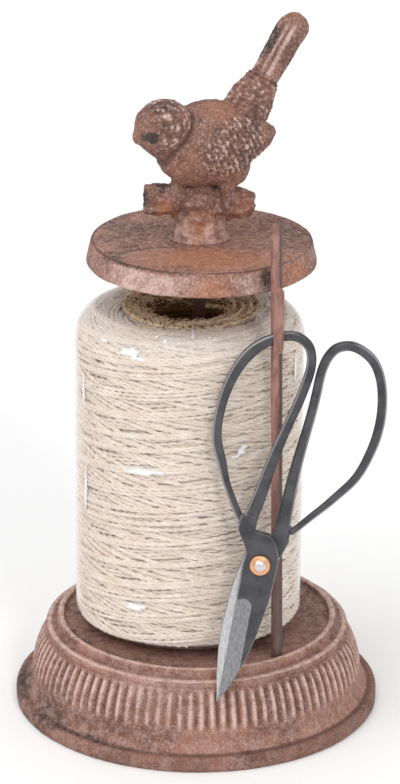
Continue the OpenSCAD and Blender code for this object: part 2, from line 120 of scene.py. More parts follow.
def ramp(value, low, high, toLow=0.0, toHigh=1.0):
    ends = {0: value, 1: low, 2: high, 3: toLow, 4: toHigh}
    return made(value.tree, "ShaderNodeMapRange", ends, interpolation_type="SMOOTHSTEP")


def tint(share, under, over):
    sides = {0: share, 6: under, 7: over}
    return made(treeOf(share, under, over), "ShaderNodeMix", sides, 2, data_type="RGBA")


def cloud(place, scale, detail=2.0, rough=0.5):
    wanted = {"Vector": place, "Scale": scale, "Detail": detail, "Roughness": rough}
    return made(place.tree, "ShaderNodeTexNoise", wanted)


def parted(vector):
    node = addNode(vector.tree, "ShaderNodeSeparateXYZ", {0: vector})
    return [wire(vector.tree, output) for output in node.outputs]


def joined(x, y, z=0.0):
    return made(x.tree, "ShaderNodeCombineXYZ", {0: x, 1: y, 2: z})


def tone(red, green, blue):
    # a colour as a screen shows it, 0 to 255, turned into the linear colour that shaders take
    shares = [value / 255 for value in (red, green, blue)]
    linear = [s / 12.92 if s < 0.04 else ((s + 0.055) / 1.055) ** 2.4 for s in shares]
    return (*linear, 1.0)


# Small tools for meshes
def showMesh(name, mesh):
    mesh.name = name
    mesh.shade_smooth()
    piece = bpy.data.objects.new(name, mesh)
    scene.collection.objects.link(piece)
    return piece


def meshPiece(name, points, faces):
    mesh = bpy.data.meshes.new(name)
    count, sides = faces.shape
    mesh.vertices.add(len(points))
    mesh.vertices.foreach_set("co", np.ascontiguousarray(points * mm, np.float32).ravel())
    mesh.loops.add(count * sides)
    mesh.loops.foreach_set("vertex_index", np.ascontiguousarray(faces, np.int32).ravel())
    mesh.polygons.add(count)
    mesh.polygons.foreach_set("loop_start", np.arange(0, count * sides, sides, dtype=np.int32))
    mesh.update(calc_edges=True)
    mesh.validate()
    return showMesh(name, mesh)


def vectorsOf(mesh, what):
    values = np.empty(len(mesh.vertices) * 3, np.float32)
    mesh.vertices.foreach_get(what, values)
    return values.reshape(-1, 3).astype(float)


def pointsOf(mesh):
    return vectorsOf(mesh, "co") / mm


def movePoints(mesh, points):
    mesh.vertices.foreach_set("co", np.ascontiguousarray(points * mm, np.float32).ravel())
    mesh.update()


def shiftPiece(piece, across):
    movePoints(piece.data, pointsOf(piece.data) + np.array([across, 0, 0]))


def giveAttribute(mesh, name, values, kind="FLOAT"):
    layer = mesh.attributes.new(name, kind, "POINT")
    field = "vector" if kind == "FLOAT_VECTOR" else "value"
    layer.data.foreach_set(field, np.ascontiguousarray(values, np.float32).ravel())


def readLayer(mesh, name):
    values = np.empty(len(mesh.vertices), np.float32)
    mesh.attributes[name].data.foreach_get("value", values)
    return values


def writeLayer(mesh, name, values):
    mesh.attributes[name].data.foreach_set("value", np.ascontiguousarray(values, np.float32))


def smooth(value, low, high):
    share = np.clip((value - low) / (high - low), 0, 1)
    return share * share * (3 - 2 * share)


def ringPlaces(piece):
    x, y, z = pointsOf(piece.data).T
    return np.hypot(x, y), z


def dab(piece, layer, marks, kept=True):
    # soft spots on a painted layer: middle, half sizes and amount of each, only on the kept points
    points = pointsOf(piece.data)
    values = readLayer(piece.data, layer)
    for middle, size, amount in marks:
        gap = np.linalg.norm((points - np.array(middle)) / np.array(size), axis=1)
        values = np.where(kept, np.maximum(values, amount * (1 - smooth(gap, 0.2, 1))), values)
    writeLayer(piece.data, layer, values)


def faceOutwards(mesh):
    # a closed mesh whose signed volume is negative is inside out
    mesh.calc_loop_triangles()
    corners = np.empty(len(mesh.loop_triangles) * 3, np.int32)
    mesh.loop_triangles.foreach_get("vertices", corners)
    a, b, c = np.moveaxis(pointsOf(mesh)[corners.reshape(-1, 3)], 1, 0)
    if np.einsum("ij,ij->", a, np.cross(b, c)) < 0:
        mesh.flip_normals()


def edgeStrips(name, strips, closed=False):
    # lines of points as an edge mesh
    mesh = bpy.data.meshes.new(name)
    points = np.concatenate(strips)
    edges = []
    start = 0
    for strip in strips:
        last = start + len(strip) - 1
        edges += [(i, i + 1) for i in range(start, last)]
        if closed:
            edges.append((last, start))
        start = last + 1
    mesh.from_pydata((points * mm).tolist(), edges, [])
    piece = bpy.data.objects.new(name, mesh)
    scene.collection.objects.link(piece)
    return piece


def bakedMesh(piece):
    graph = bpy.context.evaluated_depsgraph_get()
    shown = piece.evaluated_get(graph)
    return bpy.data.meshes.new_from_object(shown, preserve_all_data_layers=True, depsgraph=graph)


# Small tools for geometry nodes
def newTree(name, sockets):
    # a tree that takes lines of points and the given sockets
    tree = bpy.data.node_groups.new(name, "GeometryNodeTree")
    for label, kind in {"Geometry": "Geometry", **sockets}.items():
        tree.interface.new_socket(label, in_out="INPUT", socket_type="NodeSocket" + kind)
    tree.interface.new_socket("Geometry", in_out="OUTPUT", socket_type="NodeSocketGeometry")
    source = tree.nodes.new("NodeGroupInput")

    def given(label):
        return wire(tree, source.outputs[label])

    lines = made(tree, "GeometryNodeMeshToCurve", {0: given("Geometry")})
    return tree, given, lines


def finishTree(geometry, material):
    tree = geometry.tree
    geometry = made(tree, "GeometryNodeRealizeInstances", {0: geometry})
    geometry = made(tree, "GeometryNodeSetMaterial", {"Geometry": geometry, "Material": material})
    send(geometry, tree.nodes.new("NodeGroupOutput").inputs[0])
    return tree


def readField(tree, name, kind="FLOAT"):
    return made(tree, "GeometryNodeInputNamedAttribute", {"Name": name}, data_type=kind)


def storeField(geometry, name, value, kind="FLOAT"):
    wanted = {"Geometry": geometry, "Name": name, "Value": value}
    return made(geometry.tree, "GeometryNodeStoreNamedAttribute", wanted, data_type=kind)


def sweep(route, section, capped=False):
    wanted = {"Curve": route, "Profile Curve": section, "Fill Caps": capped}
    return made(route.tree, "GeometryNodeCurveToMesh", wanted)


def tube(route, sides, radius):
    wanted = {"Resolution": sides, "Radius": radius}
    return sweep(route, made(route.tree, "GeometryNodeCurvePrimitiveCircle", wanted), True)


def grow(name, source, tree, values):
    modifier = source.modifiers.new(tree.name, "NODES")
    modifier.node_group = tree
    for socket in tree.interface.items_tree:
        if socket.in_out == "INPUT" and socket.name in values:
            modifier[socket.identifier] = values[socket.name]
    mesh = bakedMesh(source)
    bpy.data.objects.remove(source)
    return showMesh(name, mesh)


# Materials
def newMaterial(name):
    material = bpy.data.materials.new(name)
    material.use_nodes = True
    tree = material.node_tree
    place = made(tree, "ShaderNodeTexCoord", None, "Object")
    return material, tree, tree.nodes["Principled BSDF"], place


def painted(tree, name):
    return made(tree, "ShaderNodeAttribute", None, "Fac", attribute_name=name)


def stretched(place, upright):
    return made(place.tree, "ShaderNodeMapping", {"Vector": place, "Scale": (1, 1, upright)})


def connect(shader, color, rough, height=None, depth=0.3, strength=0.6, metal=0.0, gloss=0.5):
    values = {"Base Color": color, "Roughness": rough, "Metallic": metal, "Specular IOR Level": gloss}
    if height:
        wanted = {"Height": height, "Distance": depth * mm, "Strength": strength}
        values["Normal"] = made(height.tree, "ShaderNodeBump", wanted)
    for socket, value in values.items():
        send(value, shader.inputs[socket])


rustTones = {
    "deep": tone(116, 78, 64),
    "warm": tone(164, 116, 96),
    "pink": tone(184, 151, 145),
    "dust": tone(222, 200, 195),
    "worn_and_lit": tone(214, 184, 174),
    "pit": tone(84, 60, 54),
    "soot_and_shade": tone(58, 52, 52),
    "tan": tone(182, 121, 89),
}


def castIron(name, dust, pits, pinkness, shade, grainSize):
    # rust in soft patches, with fine pale and dark specks, pale worn crests and broken black wear, and on the
    # cap's rim a painted highlight and a painted shadow
    material, tree, shader, place = newMaterial(name)
    patch = cloud(place, 48, 3, 0.6)
    mottle = cloud(place, 300, 4, 0.65)
    grain = cloud(place, grainSize, 4, 0.72)
    broken = ramp(mottle + grain * 0.8, 0.78, 1.0)
    patchy = broken * 0.5 + 0.5
    tan = painted(tree, "tan")
    rough = tan * -0.75 + 1.0
    color = tint(ramp(patch, 0.36, 0.64), rustTones["deep"], rustTones["warm"])
    color = tint(ramp(mottle, 0.4, 0.64, 0, pinkness), color, rustTones["pink"])
    color = tint(shade, color, rustTones["pit"])
    color = tint(tan * patchy, color, rustTones["tan"])
    color = tint(ramp(grain, 0.5, 0.7, 0, dust) * rough, color, rustTones["dust"])
    color = tint(ramp(grain, 0.3, 0.5, pits, 0) * rough, color, rustTones["pit"])
    # pale worn crests, and the painted highlight on the front of the cap's rim
    worn_and_lit = ramp(painted(tree, "relief_and_highlight"), 0.02, 0.36, 0, 0.9) * patchy
    color = tint(worn_and_lit, color, rustTones["worn_and_lit"])
    color = tint(ramp(painted(tree, "hollow"), 0.04, 0.65, 0, 0.8), color, rustTones["pit"])
    # black wear, and the painted shadow of the upright on the cap's rim
    wear = painted(tree, "soot_and_shade") * (1.15 - broken * 0.75)
    color = tint(calc("MINIMUM", wear, 0.92), color, rustTones["soot_and_shade"])
    connect(shader, color, ramp(mottle, 0.3, 0.7, 0.76, 0.56), mottle + grain * 0.7, 0.35, gloss=0.3)
    return material


def brownRod(name, light, dark):
    # streaks along the rod, darker at its low end and at its tip, and painted shade on the upright's right
    # side
    lowFade = (0.035, 0.14)  # heights in metres
    tipFade = (0.206, 0.216)
    material, tree, shader, place = newMaterial(name)
    streak = cloud(stretched(place, 0.25), 500, 3, 0.6)
    grain = cloud(place, 1500, 2, 0.6)
    height = parted(place)[2]
    color = tint(ramp(streak, 0.35, 0.65), dark, light)
    color = tint(ramp(grain, 0.6, 0.75, 0, 0.4), color, rustTones["dust"])
    lowEnd = ramp(height, *lowFade, 0.6, 0) + streak
    color = tint(ramp(lowEnd, 0.6, 1.0, 0, 0.75), color, tone(84, 68, 64))
    tipEnd = ramp(height, *tipFade, 0, 0.6) + streak
    color = tint(ramp(tipEnd, 0.85, 1.1, 0, 0.35), color, tone(84, 64, 60))
    # painted shade on the upright's right side
    color = tint(painted(tree, "soot_and_shade"), color, tone(78, 62, 58))
    connect(shader, color, ramp(streak, 0.3, 0.7, 0.62, 0.46), grain, 0.1)
    return material


def plainMetal(name, low, high, rough, speck, depth):
    # rough: roughness of the low and the high tone; speck: scale, detail and roughness of the mottling
    material, tree, shader, place = newMaterial(name)
    wear = cloud(place, *speck)
    connect(shader, tint(wear, low, high), ramp(wear, 0.3, 0.7, *rough), wear, depth, metal=0.9)
    return material


def juteTwine(name, pale, shade, deep, fleck):
    material, tree, shader, place = newMaterial(name)
    slub = cloud(joined(painted(tree, "along"), painted(tree, "strand")), 90, 3, 0.6)
    fibre = cloud(place, 1500, 3, 0.65)
    tuft = cloud(place, 120, 2, 0.5)
    color = tint(ramp(slub, 0.3, 0.7), shade, pale)
    color = tint(ramp(tuft, 0.5, 0.72, 0, 0.5), color, shade)
    color = tint(ramp(fibre, 0.3, 0.48, fleck, 0), color, deep)
    connect(shader, color, 0.9, fibre, 0.25, 0.7, gloss=0.2)
    return material


def clearFilm(name):
    # nearly clear: milky where it turns away, white where a gleam is painted
    material, tree, shader, place = newMaterial(name)
    spark = cloud(place, 700, 2, 0.5)
    facing = made(tree, "ShaderNodeLayerWeight", {"Blend": 0.4}, "Facing")
    edge = ramp(facing, 0.55, 0.98, 0, 0.55)
    milk = painted(tree, "milk") * ramp(spark, 0.35, 0.65, 0.5, 1)
    alpha = calc("MAXIMUM", edge + 0.05 + milk, painted(tree, "glint"))
    send(calc("MINIMUM", alpha, 0.97), shader.inputs["Alpha"])
    connect(shader, tone(252, 252, 252), 0.2)
    material.surface_render_method = "BLENDED"
    return material


def forgedSteel(name):
    # dark scale, bare steel on the ground bevels, bright steel on the inner faces, worn edges with painted
    # highlights
    material, tree, shader, place = newMaterial(name)
    scaleMark = cloud(place, 150, 3, 0.55)
    speck = cloud(place, 1400, 2, 0.6)
    scratch = ramp(cloud(stretched(place, 0.08), 2600, 2, 0.6), 0.3, 0.7)
    ground = painted(tree, "ground")
    polish = painted(tree, "polish")
    dark = tint(ramp(scaleMark, 0.3, 0.7), tone(64, 63, 67), tone(86, 85, 89))
    dark = tint(ramp(speck, 0.62, 0.8, 0, 0.35), dark, tone(140, 134, 130))
    # rubbed edges and painted highlights, on the loops at their left
    dark = tint(painted(tree, "rubbed_and_highlight"), dark, tone(188, 186, 188))
    bare = tint(scratch, tone(126, 126, 128), tone(158, 158, 160))
    bright = tint(scratch, tone(178, 177, 179), tone(212, 212, 214))
    color = tint(polish, tint(ground, dark, bare), bright)
    shine = calc("MAXIMUM", ground, polish)
    rough = ramp(scaleMark, 0.3, 0.7, 0.46, 0.38) - shine * 0.1
    connect(shader, color, rough, scaleMark + speck * 0.4, 0.06, 0.5, ramp(shine, 0, 1, 0.5, 0.7))
    return material


zincTones = (tone(150, 150, 146), tone(196, 196, 194))
copperTones = (tone(222, 146, 100), tone(250, 200, 160))
rivetTones = (tone(196, 194, 194), tone(236, 234, 234))
wornSpeck = (700, 3, 0.6)
finishes = {
    "base": castIron("rusty_base", 0.42, 0.6, 0.5, 0.06, 1300),
    "cap": castIron("rusty_cap", 0.6, 0.95, 0.4, 0.08, 1000),
    "bird": castIron("rusty_bird", 0.45, 0.8, 0.22, 0.3, 950),
    "rod": brownRod("brown_rod", tone(166, 122, 112), tone(132, 92, 82)),
    # the spindle's finish: its darker paint, and painted shade where it stands in the spool's hole
    "shadedInnerRod": brownRod("dark_shaded_rod", tone(96, 62, 56), tone(74, 46, 42)),
    "zinc": plainMetal("dull_zinc", *zincTones, (0.5, 0.34), (400, 2, 0.5), 0.05),
    "twine": juteTwine("jute_outer", tone(246, 236, 226), tone(226, 208, 192), tone(176, 150, 126), 0.3),
    "mouth": juteTwine("jute_inner", tone(255, 240, 214), tone(244, 214, 178), tone(160, 124, 90), 0.6),
    # painted shade: a darker copy of the jute for the bore, the throat and a few dark fibres
    "throat": juteTwine("jute_shaded", tone(128, 94, 62), tone(98, 70, 46), tone(58, 40, 28), 0.5),
    "film": clearFilm("clear_film"),
    "steel": forgedSteel("forged_steel"),
    "copper": plainMetal("copper_washer", *copperTones, (0.38, 0.28), wornSpeck, 0.06),
    "rivet": plainMetal("rivet_steel", *rivetTones, (0.36, 0.26), wornSpeck, 0.06),
}
print("materials made:", len(finishes))


# A lathe for castings: turns a closed profile, cuts flutes where the profile has a run, and roughens it
latheLook = {
    # scales of the noise, the flutes' steepness, and where along the run their arched heads and feet fade
    "wear": 26, "lumps": 70, "sand": 480, "breaks": 44, "steep": 1.5, "head": 0.05, "arch": -0.04,
    "headFade": 0.08, "foot": (0.72, 1.05), "crest": 0.36,
}


def castLathe():
    look = latheLook
    tree, given, profile = newTree("castLathe", {
        "Around": "Int", "Flutes": "Int", "Flute depth": "Float", "Unevenness": "Float",
        "Roughness": "Float", "Material": "Material",
    })
    profile = storeField(profile, "ring", made(tree, "GeometryNodeInputPosition"), "FLOAT_VECTOR")
    circle = made(tree, "GeometryNodeCurvePrimitiveCircle", {"Resolution": given("Around")})
    index = made(tree, "GeometryNodeInputIndex")
    circle = storeField(circle, "angle", index * math.tau / given("Around"))
    swept = sweep(circle, profile)
    angle = readField(tree, "angle")
    run = readField(tree, "run")
    ring = parted(readField(tree, "ring", "FLOAT_VECTOR"))
    out = parted(readField(tree, "outward", "FLOAT_VECTOR"))
    cosine = calc("COSINE", angle)
    sine = calc("SINE", angle)

    def onRing(radius, height):
        return joined(radius * cosine, radius * sine, height)

    plain = onRing(ring[0], ring[2])
    valley = calc("POWER", calc("COSINE", angle * given("Flutes")) * 0.5 + 0.5, look["steep"])
    arch = valley * look["arch"] + look["head"]
    head = ramp(run, arch, arch + look["headFade"])
    foot = ramp(run, *look["foot"], 1, 0)
    wear = ramp(cloud(plain, look["wear"], 2), 0.3, 0.6, 0.6, 1)
    fluted = head * foot * wear
    lumps = (cloud(plain, look["lumps"], 2) - 0.5) * given("Unevenness")
    sand = (cloud(plain, look["sand"], 2) - 0.5) * given("Roughness")
    shift = lumps + sand - valley * fluted * given("Flute depth")
    place = onRing(out[0] * shift + ring[0], out[2] * shift + ring[2])
    shaped = made(tree, "GeometryNodeSetPosition", {0: swept, "Position": place})
    relief_and_highlight = (look["crest"] - valley) * fluted + readField(tree, "edging")
    broken = ramp(cloud(plain, look["breaks"], 3), 0.36, 0.6, -0.45, -1.0)
    shaped = storeField(shaped, "hollow", calc("MAXIMUM", relief_and_highlight * broken, 0.0))
    return finishTree(storeField(shaped, "relief_and_highlight", relief_and_highlight), given("Material"))


latheTree = castLathe()


# Profiles are lists of (radius, height)
def arcPoints(middle, radius, start, end, steps):
    angles = np.radians(np.linspace(start, end, steps + 1))
    return [(middle[0] + radius * math.cos(a), middle[1] + radius * math.sin(a)) for a in angles]


def straight(start, end, steps):
    return bowed(start, end, np.linspace(0, 1, steps + 1), 0)


def bowed(start, end, shares, bulge):
    # an arch from start to end that swells to the left of its way
    start = np.array(start)
    way = np.array(end) - start
    left = np.array([-way[1], way[0]]) / np.linalg.norm(way)
    return [tuple(start + way * u + left * 4 * u * (1 - u) * bulge) for u in shares]


def stepFrom(place, step):
    return (place[0] + step[0], place[1] + step[1])


def turnedPiece(name, profile, look, material, marks=None):
    # a profile goes clockwise, seen with the axis on the left, so that the left side of its way is outside
    profile = np.array(profile)
    ahead = np.roll(profile, -1, 0) - np.roll(profile, 1, 0)
    ahead /= np.maximum(np.linalg.norm(ahead, axis=1, keepdims=True), 1e-9)
    flat = np.zeros(len(profile))
    strip = edgeStrips(name + "_profile", [np.column_stack([profile[:, 0], flat, profile[:, 1]])], True)
    outward = np.column_stack([-ahead[:, 1], flat, ahead[:, 0]])
    giveAttribute(strip.data, "outward", outward, "FLOAT_VECTOR")
    layers = {"run": flat - 1, "edging": flat, "soot_and_shade": flat, "tan": flat, **(marks or {})}
    for layer, values in layers.items():
        giveAttribute(strip.data, layer, values)
    piece = grow(name, strip, latheTree, {
        "Around": look["around"], "Flutes": look.get("flutes", 1), "Material": material,
        "Flute depth": look.get("fluteDepth", 0) * mm, "Unevenness": look["unevenness"] * mm,
        "Roughness": look["roughness"] * mm,
    })
    faceOutwards(piece.data)
    return piece


# Base casting
baseLook = {
    "around": 960, "flutes": 96, "fluteDepth": 1.2, "unevenness": 0.5, "roughness": 0.22,
    "seatRadius": 22, "seatRound": 0.8, "wall": 4.5, "ridgeRadius": 55.4, "ridgeBead": 1.8, "lowerBead": 1.7,
    "beadStep": (4.4, -3.2), "grooveStep": (-2.3, 1.6), "headStep": (1.3, -1.4), "bandBulge": 1.4,
    "rimOut": 0.9, "rimHeight": 6, "rimRound": 1.6, "coveWidth": 6.6, "coveHeight": 7, "coveSag": 1.3,
    "plateHeight": 35, "holeRadius": 2.65,
}


def baseCast():
    look = baseLook
    high = boxOf("base_casting")[1]
    rim = high[0] + look["rimOut"]
    top = high[2]
    plate = look["plateHeight"]
    wall = look["wall"]
    seat = look["seatRadius"]
    corner = look["seatRound"]
    ridge = (look["ridgeRadius"], plate)
    bead = stepFrom(ridge, look["beadStep"])
    groove = stepFrom(bead, look["grooveStep"])
    head = stepFrom(bead, look["headStep"])
    foot = (rim - look["coveWidth"], look["rimHeight"] + look["coveHeight"])
    coveEnd = (rim - look["rimRound"] - 1.9, look["rimHeight"] + 0.2)
    lip = stepFrom(coveEnd, (0.4, -0.6))
    shares = np.linspace(0, 1, 21)
    band = bowed(head, foot, shares, look["bandBulge"])
    cove = bowed(foot, coveEnd, np.linspace(0, 1, 9)[1:], -look["coveSag"])
    rimMiddle = (rim - look["rimRound"], look["rimHeight"] - look["rimRound"])
    topSide = straight((look["holeRadius"], top), (seat - corner, top), 5)
    topSide += arcPoints((seat - corner, top - corner), corner, 80, 0, 3)
    topSide += [(seat, plate + 1), (seat + 0.3, plate + 0.3)]
    topSide += straight((seat + 1, plate), (ridge[0] - 2.6, plate), 9)
    topSide += arcPoints(ridge, look["ridgeBead"], 172, -10, 10) + [groove]
    topSide += arcPoints(bead, look["lowerBead"], 120, -40, 9)
    lowSide = [lip] + arcPoints(rimMiddle, look["rimRound"], 108, 0, 6)
    lowSide += [(rim, 2.6), (rim, 0.8), (rim - 0.7, 0)]
    under = [(foot[0], 0), (foot[0], 4), (foot[0] - wall, foot[1]), (head[0] - wall + 0.6, plate - wall)]
    under += straight((head[0] - wall - 3, plate - wall), (look["holeRadius"], plate - wall), 4)
    profile = topSide + band + cove + lowSide + under
    radius, height = np.array(profile).T
    run = np.full(len(profile), -1.0)
    run[len(topSide):len(topSide) + len(band)] = shares
    # crests are worn pale, grooves and the flat of the plate are dark
    edging = np.zeros(len(profile))
    edging[(height < look["rimHeight"] + 0.2) & (radius > foot[0] + 1)] = -0.36
    edging[(height > plate - 0.5) & (radius < ridge[0] - 2.4)] = -0.26
    for place, reach, amount in (
        (stepFrom(ridge, (0, 1.8)), 1.3, 0.3), (stepFrom(bead, (0.6, 1.5)), 1.0, 0.3),
        (groove, 0.9, -0.4), (head, 0.7, -0.3), (lip, 0.8, -0.6),
    ):
        edging[np.hypot(radius - place[0], height - place[1]) < reach] = amount
    soot_and_shade = np.where((height > plate - 0.5) & (radius < ridge[0] - 1.5), 0.16, 0.0)
    marks = {"run": run, "edging": edging, "soot_and_shade": soot_and_shade}
    piece = turnedPiece("base_cast", profile, look, finishes["base"], marks)
    around = ringPlaces(piece)[0]
    inCove = np.abs(around - coveEnd[0]) < 0.9
    besideRidge = np.abs(around - ridge[0] + 2.6) < 1.3
    dab(piece, "soot_and_shade", (((-72, -6, 9), (8, 30, 9), 0.95), ((-60, -38, 8), (14, 18, 6), 0.5)))
    dab(piece, "soot_and_shade", (((-45, -48, 6), (52, 36, 9), 0.8),), inCove)
    dab(piece, "soot_and_shade", (((-40, -34, plate), (44, 30, 6), 0.85),), besideRidge)
    dab(piece, "relief_and_highlight", (((-20, -58, plate - 6), (40, 16, 9), 0.16),))
    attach(piece, "stand")
    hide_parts("base_casting")


# Cap disc, its rim a little wider below, with a smooth lens-shaped patch on the front of its top
capLook = {
    "around": 420, "unevenness": 0.7, "roughness": 0.25, "edgeRound": 1.0, "flare": 1.7, "rimOut": 0.4,
    "sideways": 0.9, "holeRadius": 2.65, "lens": (6, -25), "lensHalf": (39, 16), "lensLine": 0.85,
    "lineWidth": 0.05,
}


def lensLine(piece, top):
    # a dark line round the left of the smooth patch
    look = capLook
    x, y, z = pointsOf(piece.data).T
    gap = np.hypot((x - look["lens"][0]) / look["lensHalf"][0], (y - look["lens"][1]) / look["lensHalf"][1])
    line = look["lensLine"] * np.exp(-((gap - 1) / look["lineWidth"]) ** 2)
    line *= smooth(-x, 2, 16) * smooth(y, -37, -31) * (z > top - 1.5)
    writeLayer(piece.data, "soot_and_shade", np.maximum(readLayer(piece.data, "soot_and_shade"), line))


def capCast():
    look = capLook
    low, high = boxOf("cap_disc")
    rim = high[0] + look["rimOut"]
    foot = low[2]
    top = high[2]
    edge = look["edgeRound"]
    upper = rim - look["flare"]
    profile = straight((look["holeRadius"], top), (upper - edge - 0.6, top), 22)
    profile += arcPoints((upper - edge, top - edge), edge, 86, 12, 6)
    profile += straight((upper + 0.1, top - edge - 0.6), (rim - 0.1, foot + edge + 0.6), 6)
    profile += arcPoints((rim - edge, foot + edge), edge, 8, -86, 6)
    profile += straight((rim - edge - 0.6, foot), (look["holeRadius"], foot), 14)
    radius, height = np.array(profile).T
    edging = np.where(np.hypot(radius - upper + 0.7, height - top + 0.4) < 0.55, -0.6, 0.0)
    piece = turnedPiece("cap_cast", profile, look, finishes["cap"], {"edging": edging})
    around, level = ringPlaces(piece)
    onRim = (around > upper - 0.6) & (level < top - 0.9)
    onTop = (around < upper - 0.8) & (level > top - 1.2)
    middle = (foot + top) / 2
    # painted highlight: pale patches on the front of the rim, where the light falls on it
    dab(piece, "relief_and_highlight", (
        ((-24, -38, middle), (34, 22, 14), 0.3), ((19, -42, middle), (10, 9, 12), 0.2),
    ), onRim)
    dab(piece, "tan", (((5, -25, top), (40, 21, 5), 0.85), ((10, 10, top), (30, 30, 5), 0.3)), onTop)
    dab(piece, "tan", (
        ((34, -28, middle), (15, 26, 12), 0.6), ((4, -46, middle - 2), (14, 9, 8), 0.7),
    ), onRim)
    dab(piece, "soot_and_shade", (
        ((-35, -22, top), (4, 8, 4), 0.7), ((-30, -12, top), (3.5, 8, 4), 0.6),
        ((-25, -2, top), (5, 7, 4), 0.5), ((-30, 8, top), (16, 20, 4), 0.35),
        # painted shadow: the spot at (25.8, -37) on the rim is the upright's shadow
        ((25.8, -37, middle), (5.0, 6, 7), 1.1), ((33, 10, top), (9, 16, 4), 0.3),
    ))
    lensLine(piece, top)
    shiftPiece(piece, look["sideways"])
    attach(piece, "lid")
    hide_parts("cap_disc")


baseCast()
capCast()
print("castings turned")


# Fields: distances to simple solids, blended and then skinned
def within(points, place, turn=(0, 0, 0)):
    back = np.array(Euler([math.radians(a) for a in turn], "XYZ").to_matrix()).T
    moved = [points[k] - place[k] for k in range(3)]
    return [sum(back[r][c] * moved[c] for c in range(3)) for r in range(3)]


def egg(points, radii, taper=0.0):
    girth = 1 - taper * np.clip(points[0] / radii[0], -1, 1)
    spot = [points[0], points[1] / girth, points[2] / girth]
    near = np.sqrt(sum((spot[k] / radii[k]) ** 2 for k in range(3)))
    steep = np.sqrt(sum((spot[k] / radii[k] ** 2) ** 2 for k in range(3))) + 1e-6
    return near * (near - 1) / steep


def rodField(points, start, end, startRadius, endRadius):
    start = np.array(start, float)
    line = np.array(end, float) - start
    moved = [points[k] - start[k] for k in range(3)]
    share = np.clip(sum(moved[k] * line[k] for k in range(3)) / line.dot(line), 0, 1)
    gap = np.sqrt(sum((moved[k] - share * line[k]) ** 2 for k in range(3)))
    return gap - (startRadius + (endRadius - startRadius) * share)


def blend(a, b, soft):
    share = np.clip(0.5 + 0.5 * (b - a) / soft, 0, 1)
    return b + (a - b) * share - soft * share * (1 - share)


def both(a, b, soft):
    return -blend(-a, -b, soft)


def nearTo(gap, reach, full=0.3):
    return smooth(-np.abs(gap), -reach, -full)


def gridOver(low, high, step):
    axes = [np.arange(low[k], high[k] + step, step, dtype=np.float32) for k in range(3)]
    return [axes[0][:, None, None], axes[1][None, :, None], axes[2][None, None, :]]


def skinField(name, field, low, step):
    grid = openvdb.FloatGrid(1.0)
    grid.copyFromArray(np.ascontiguousarray(field, np.float32))
    points, faces = grid.convertToQuads(isovalue=0.0)
    piece = meshPiece(name, points * step + np.array(low), faces)
    faceOutwards(piece.data)
    return piece


# Bird, log and stump
birdLook = {
    "step": 0.4, "heading": 35, "bodyMiddle": (2, 0, 235.4), "body": (21, 15, 15.6), "bodyPitch": -6,
    "back": (16, 11.5, 8.6), "backMiddle": (3, 0, 6.2), "vent": (8, 6.5, 8), "ventMiddle": (7.4, -7, -8.6),
    "head": (11.3, 10.5, 10.6), "headMiddle": (-18.8, 0.3, 10), "eye": (-6.0, 7.6, 3.2),
    "wing": (18, 4.4, 10), "wingMiddle": (6.5, 11.4, 1.9), "wingTurn": (10, -8, 4),
    "tailRoot": (17, 0, 8.1), "tailLean": 37, "rumpLength": 17.8, "tailLength": 46.5, "tailHalfWidth": 8,
    "tailThickness": 5.5, "logRadius": 5.6, "logLength": 43, "logTurn": (0, 4, 6), "logHeight": 211.9,
    "logSwell": 3.2, "stump": (10.7, 8.2), "stumpTaper": 1.2, "stumpFlare": 1.6, "boreRadius": 2.6,
    "boreDepth": 11.5, "feet": (-8.6, 10.6), "scale": 2.4, "scaleDepth": 0.7, "tailGroove": 4.4,
    "tailGrooveDepth": 0.32, "barkDepth": 0.35, "collarDepth": 0.5, "creaseDepth": 0.3,
    "beak": ((-6.5, 0, 0.6), (-11.2, 0, -2.6), 6.8, 3.2), "throat": ((-5, 0, -4), (6, 0, -12.5), 5.6, 6.5),
    "legJoints": ((0, -3.5, 8), (0.4, -7.4, 4), (0, -8.4, 0.5)), "legRadii": (2.8, 2.3, 1.6),
    "lumpScale": 0.16, "sandScale": 0.9, "knobScale": 0.34, "knobPlace": (9, 2, 5), "pebbleSlope": 1.35,
}
# dark patches and bare tan metal: middle, size and amount, in each part's own coordinates
birdMarks = {
    "soot_and_shade": {
        "own": (
            ((8, -15.5, -4), 6, 0.45), ((13, -13, 9), 6, 0.5), ((-11, -10, -9), 7, 0.35),
            ((-3, -14, 8), 4, 0.5), ((16, -9, 2), 6, 0.3),
        ),
        "headPlace": (
            ((-12.4, -4.4, -1.5), 3.4, 1.8), ((-10.4, -5.9, -1.4), 3.4, 1.8), ((-5, -3.7, 8.8), 4.6, 0.65),
            ((1, -4, 9.8), 4, 0.55), ((-9.6, 1.3, 4.6), 3.4, 0.7), ((-6.4, -8.4, 3.2), 1.8, 0.5),
            ((8, -6, 2), 5, 0.45),
        ),
        "tail": (((-2, 5.5, 28), 6, 1.4), ((-2, 5.5, 35), 4.5, 1.0), ((-3, 5, 12), 6, 0.5)),
        "logPlace": (((-22, 0, 0), 6.5, 1.5), ((-15, 0, 6), 6, 1.1), ((20, 0, -5), 4, 0.4)),
    },
    "tan": {
        "own": (((-14, -8, -8), 12, 0.25), ((2, -14, -10), 11, 0.25), ((4, -6, 16), 10, 0.4)),
        "logPlace": (((-14, -5, -3), 7, 0.7), ((16, -5, 0), 8, 0.5), ((0, -9, -9), 10, 0.7)),
    },
}


def birdHead(place):
    head = egg(place, birdLook["head"], 0.05)
    head = blend(head, rodField(place, *birdLook["beak"]), 3.0)
    head = blend(head, rodField(place, *birdLook["throat"]), 2.0)
    x, y, z = birdLook["eye"]
    for side in (-1, 1):
        eye = rodField(place, (x, side * y, z), (x - 0.2, side * (y + 0.2), z), 1.2, 1.0)
        head = blend(head, eye, 0.4)
    return head


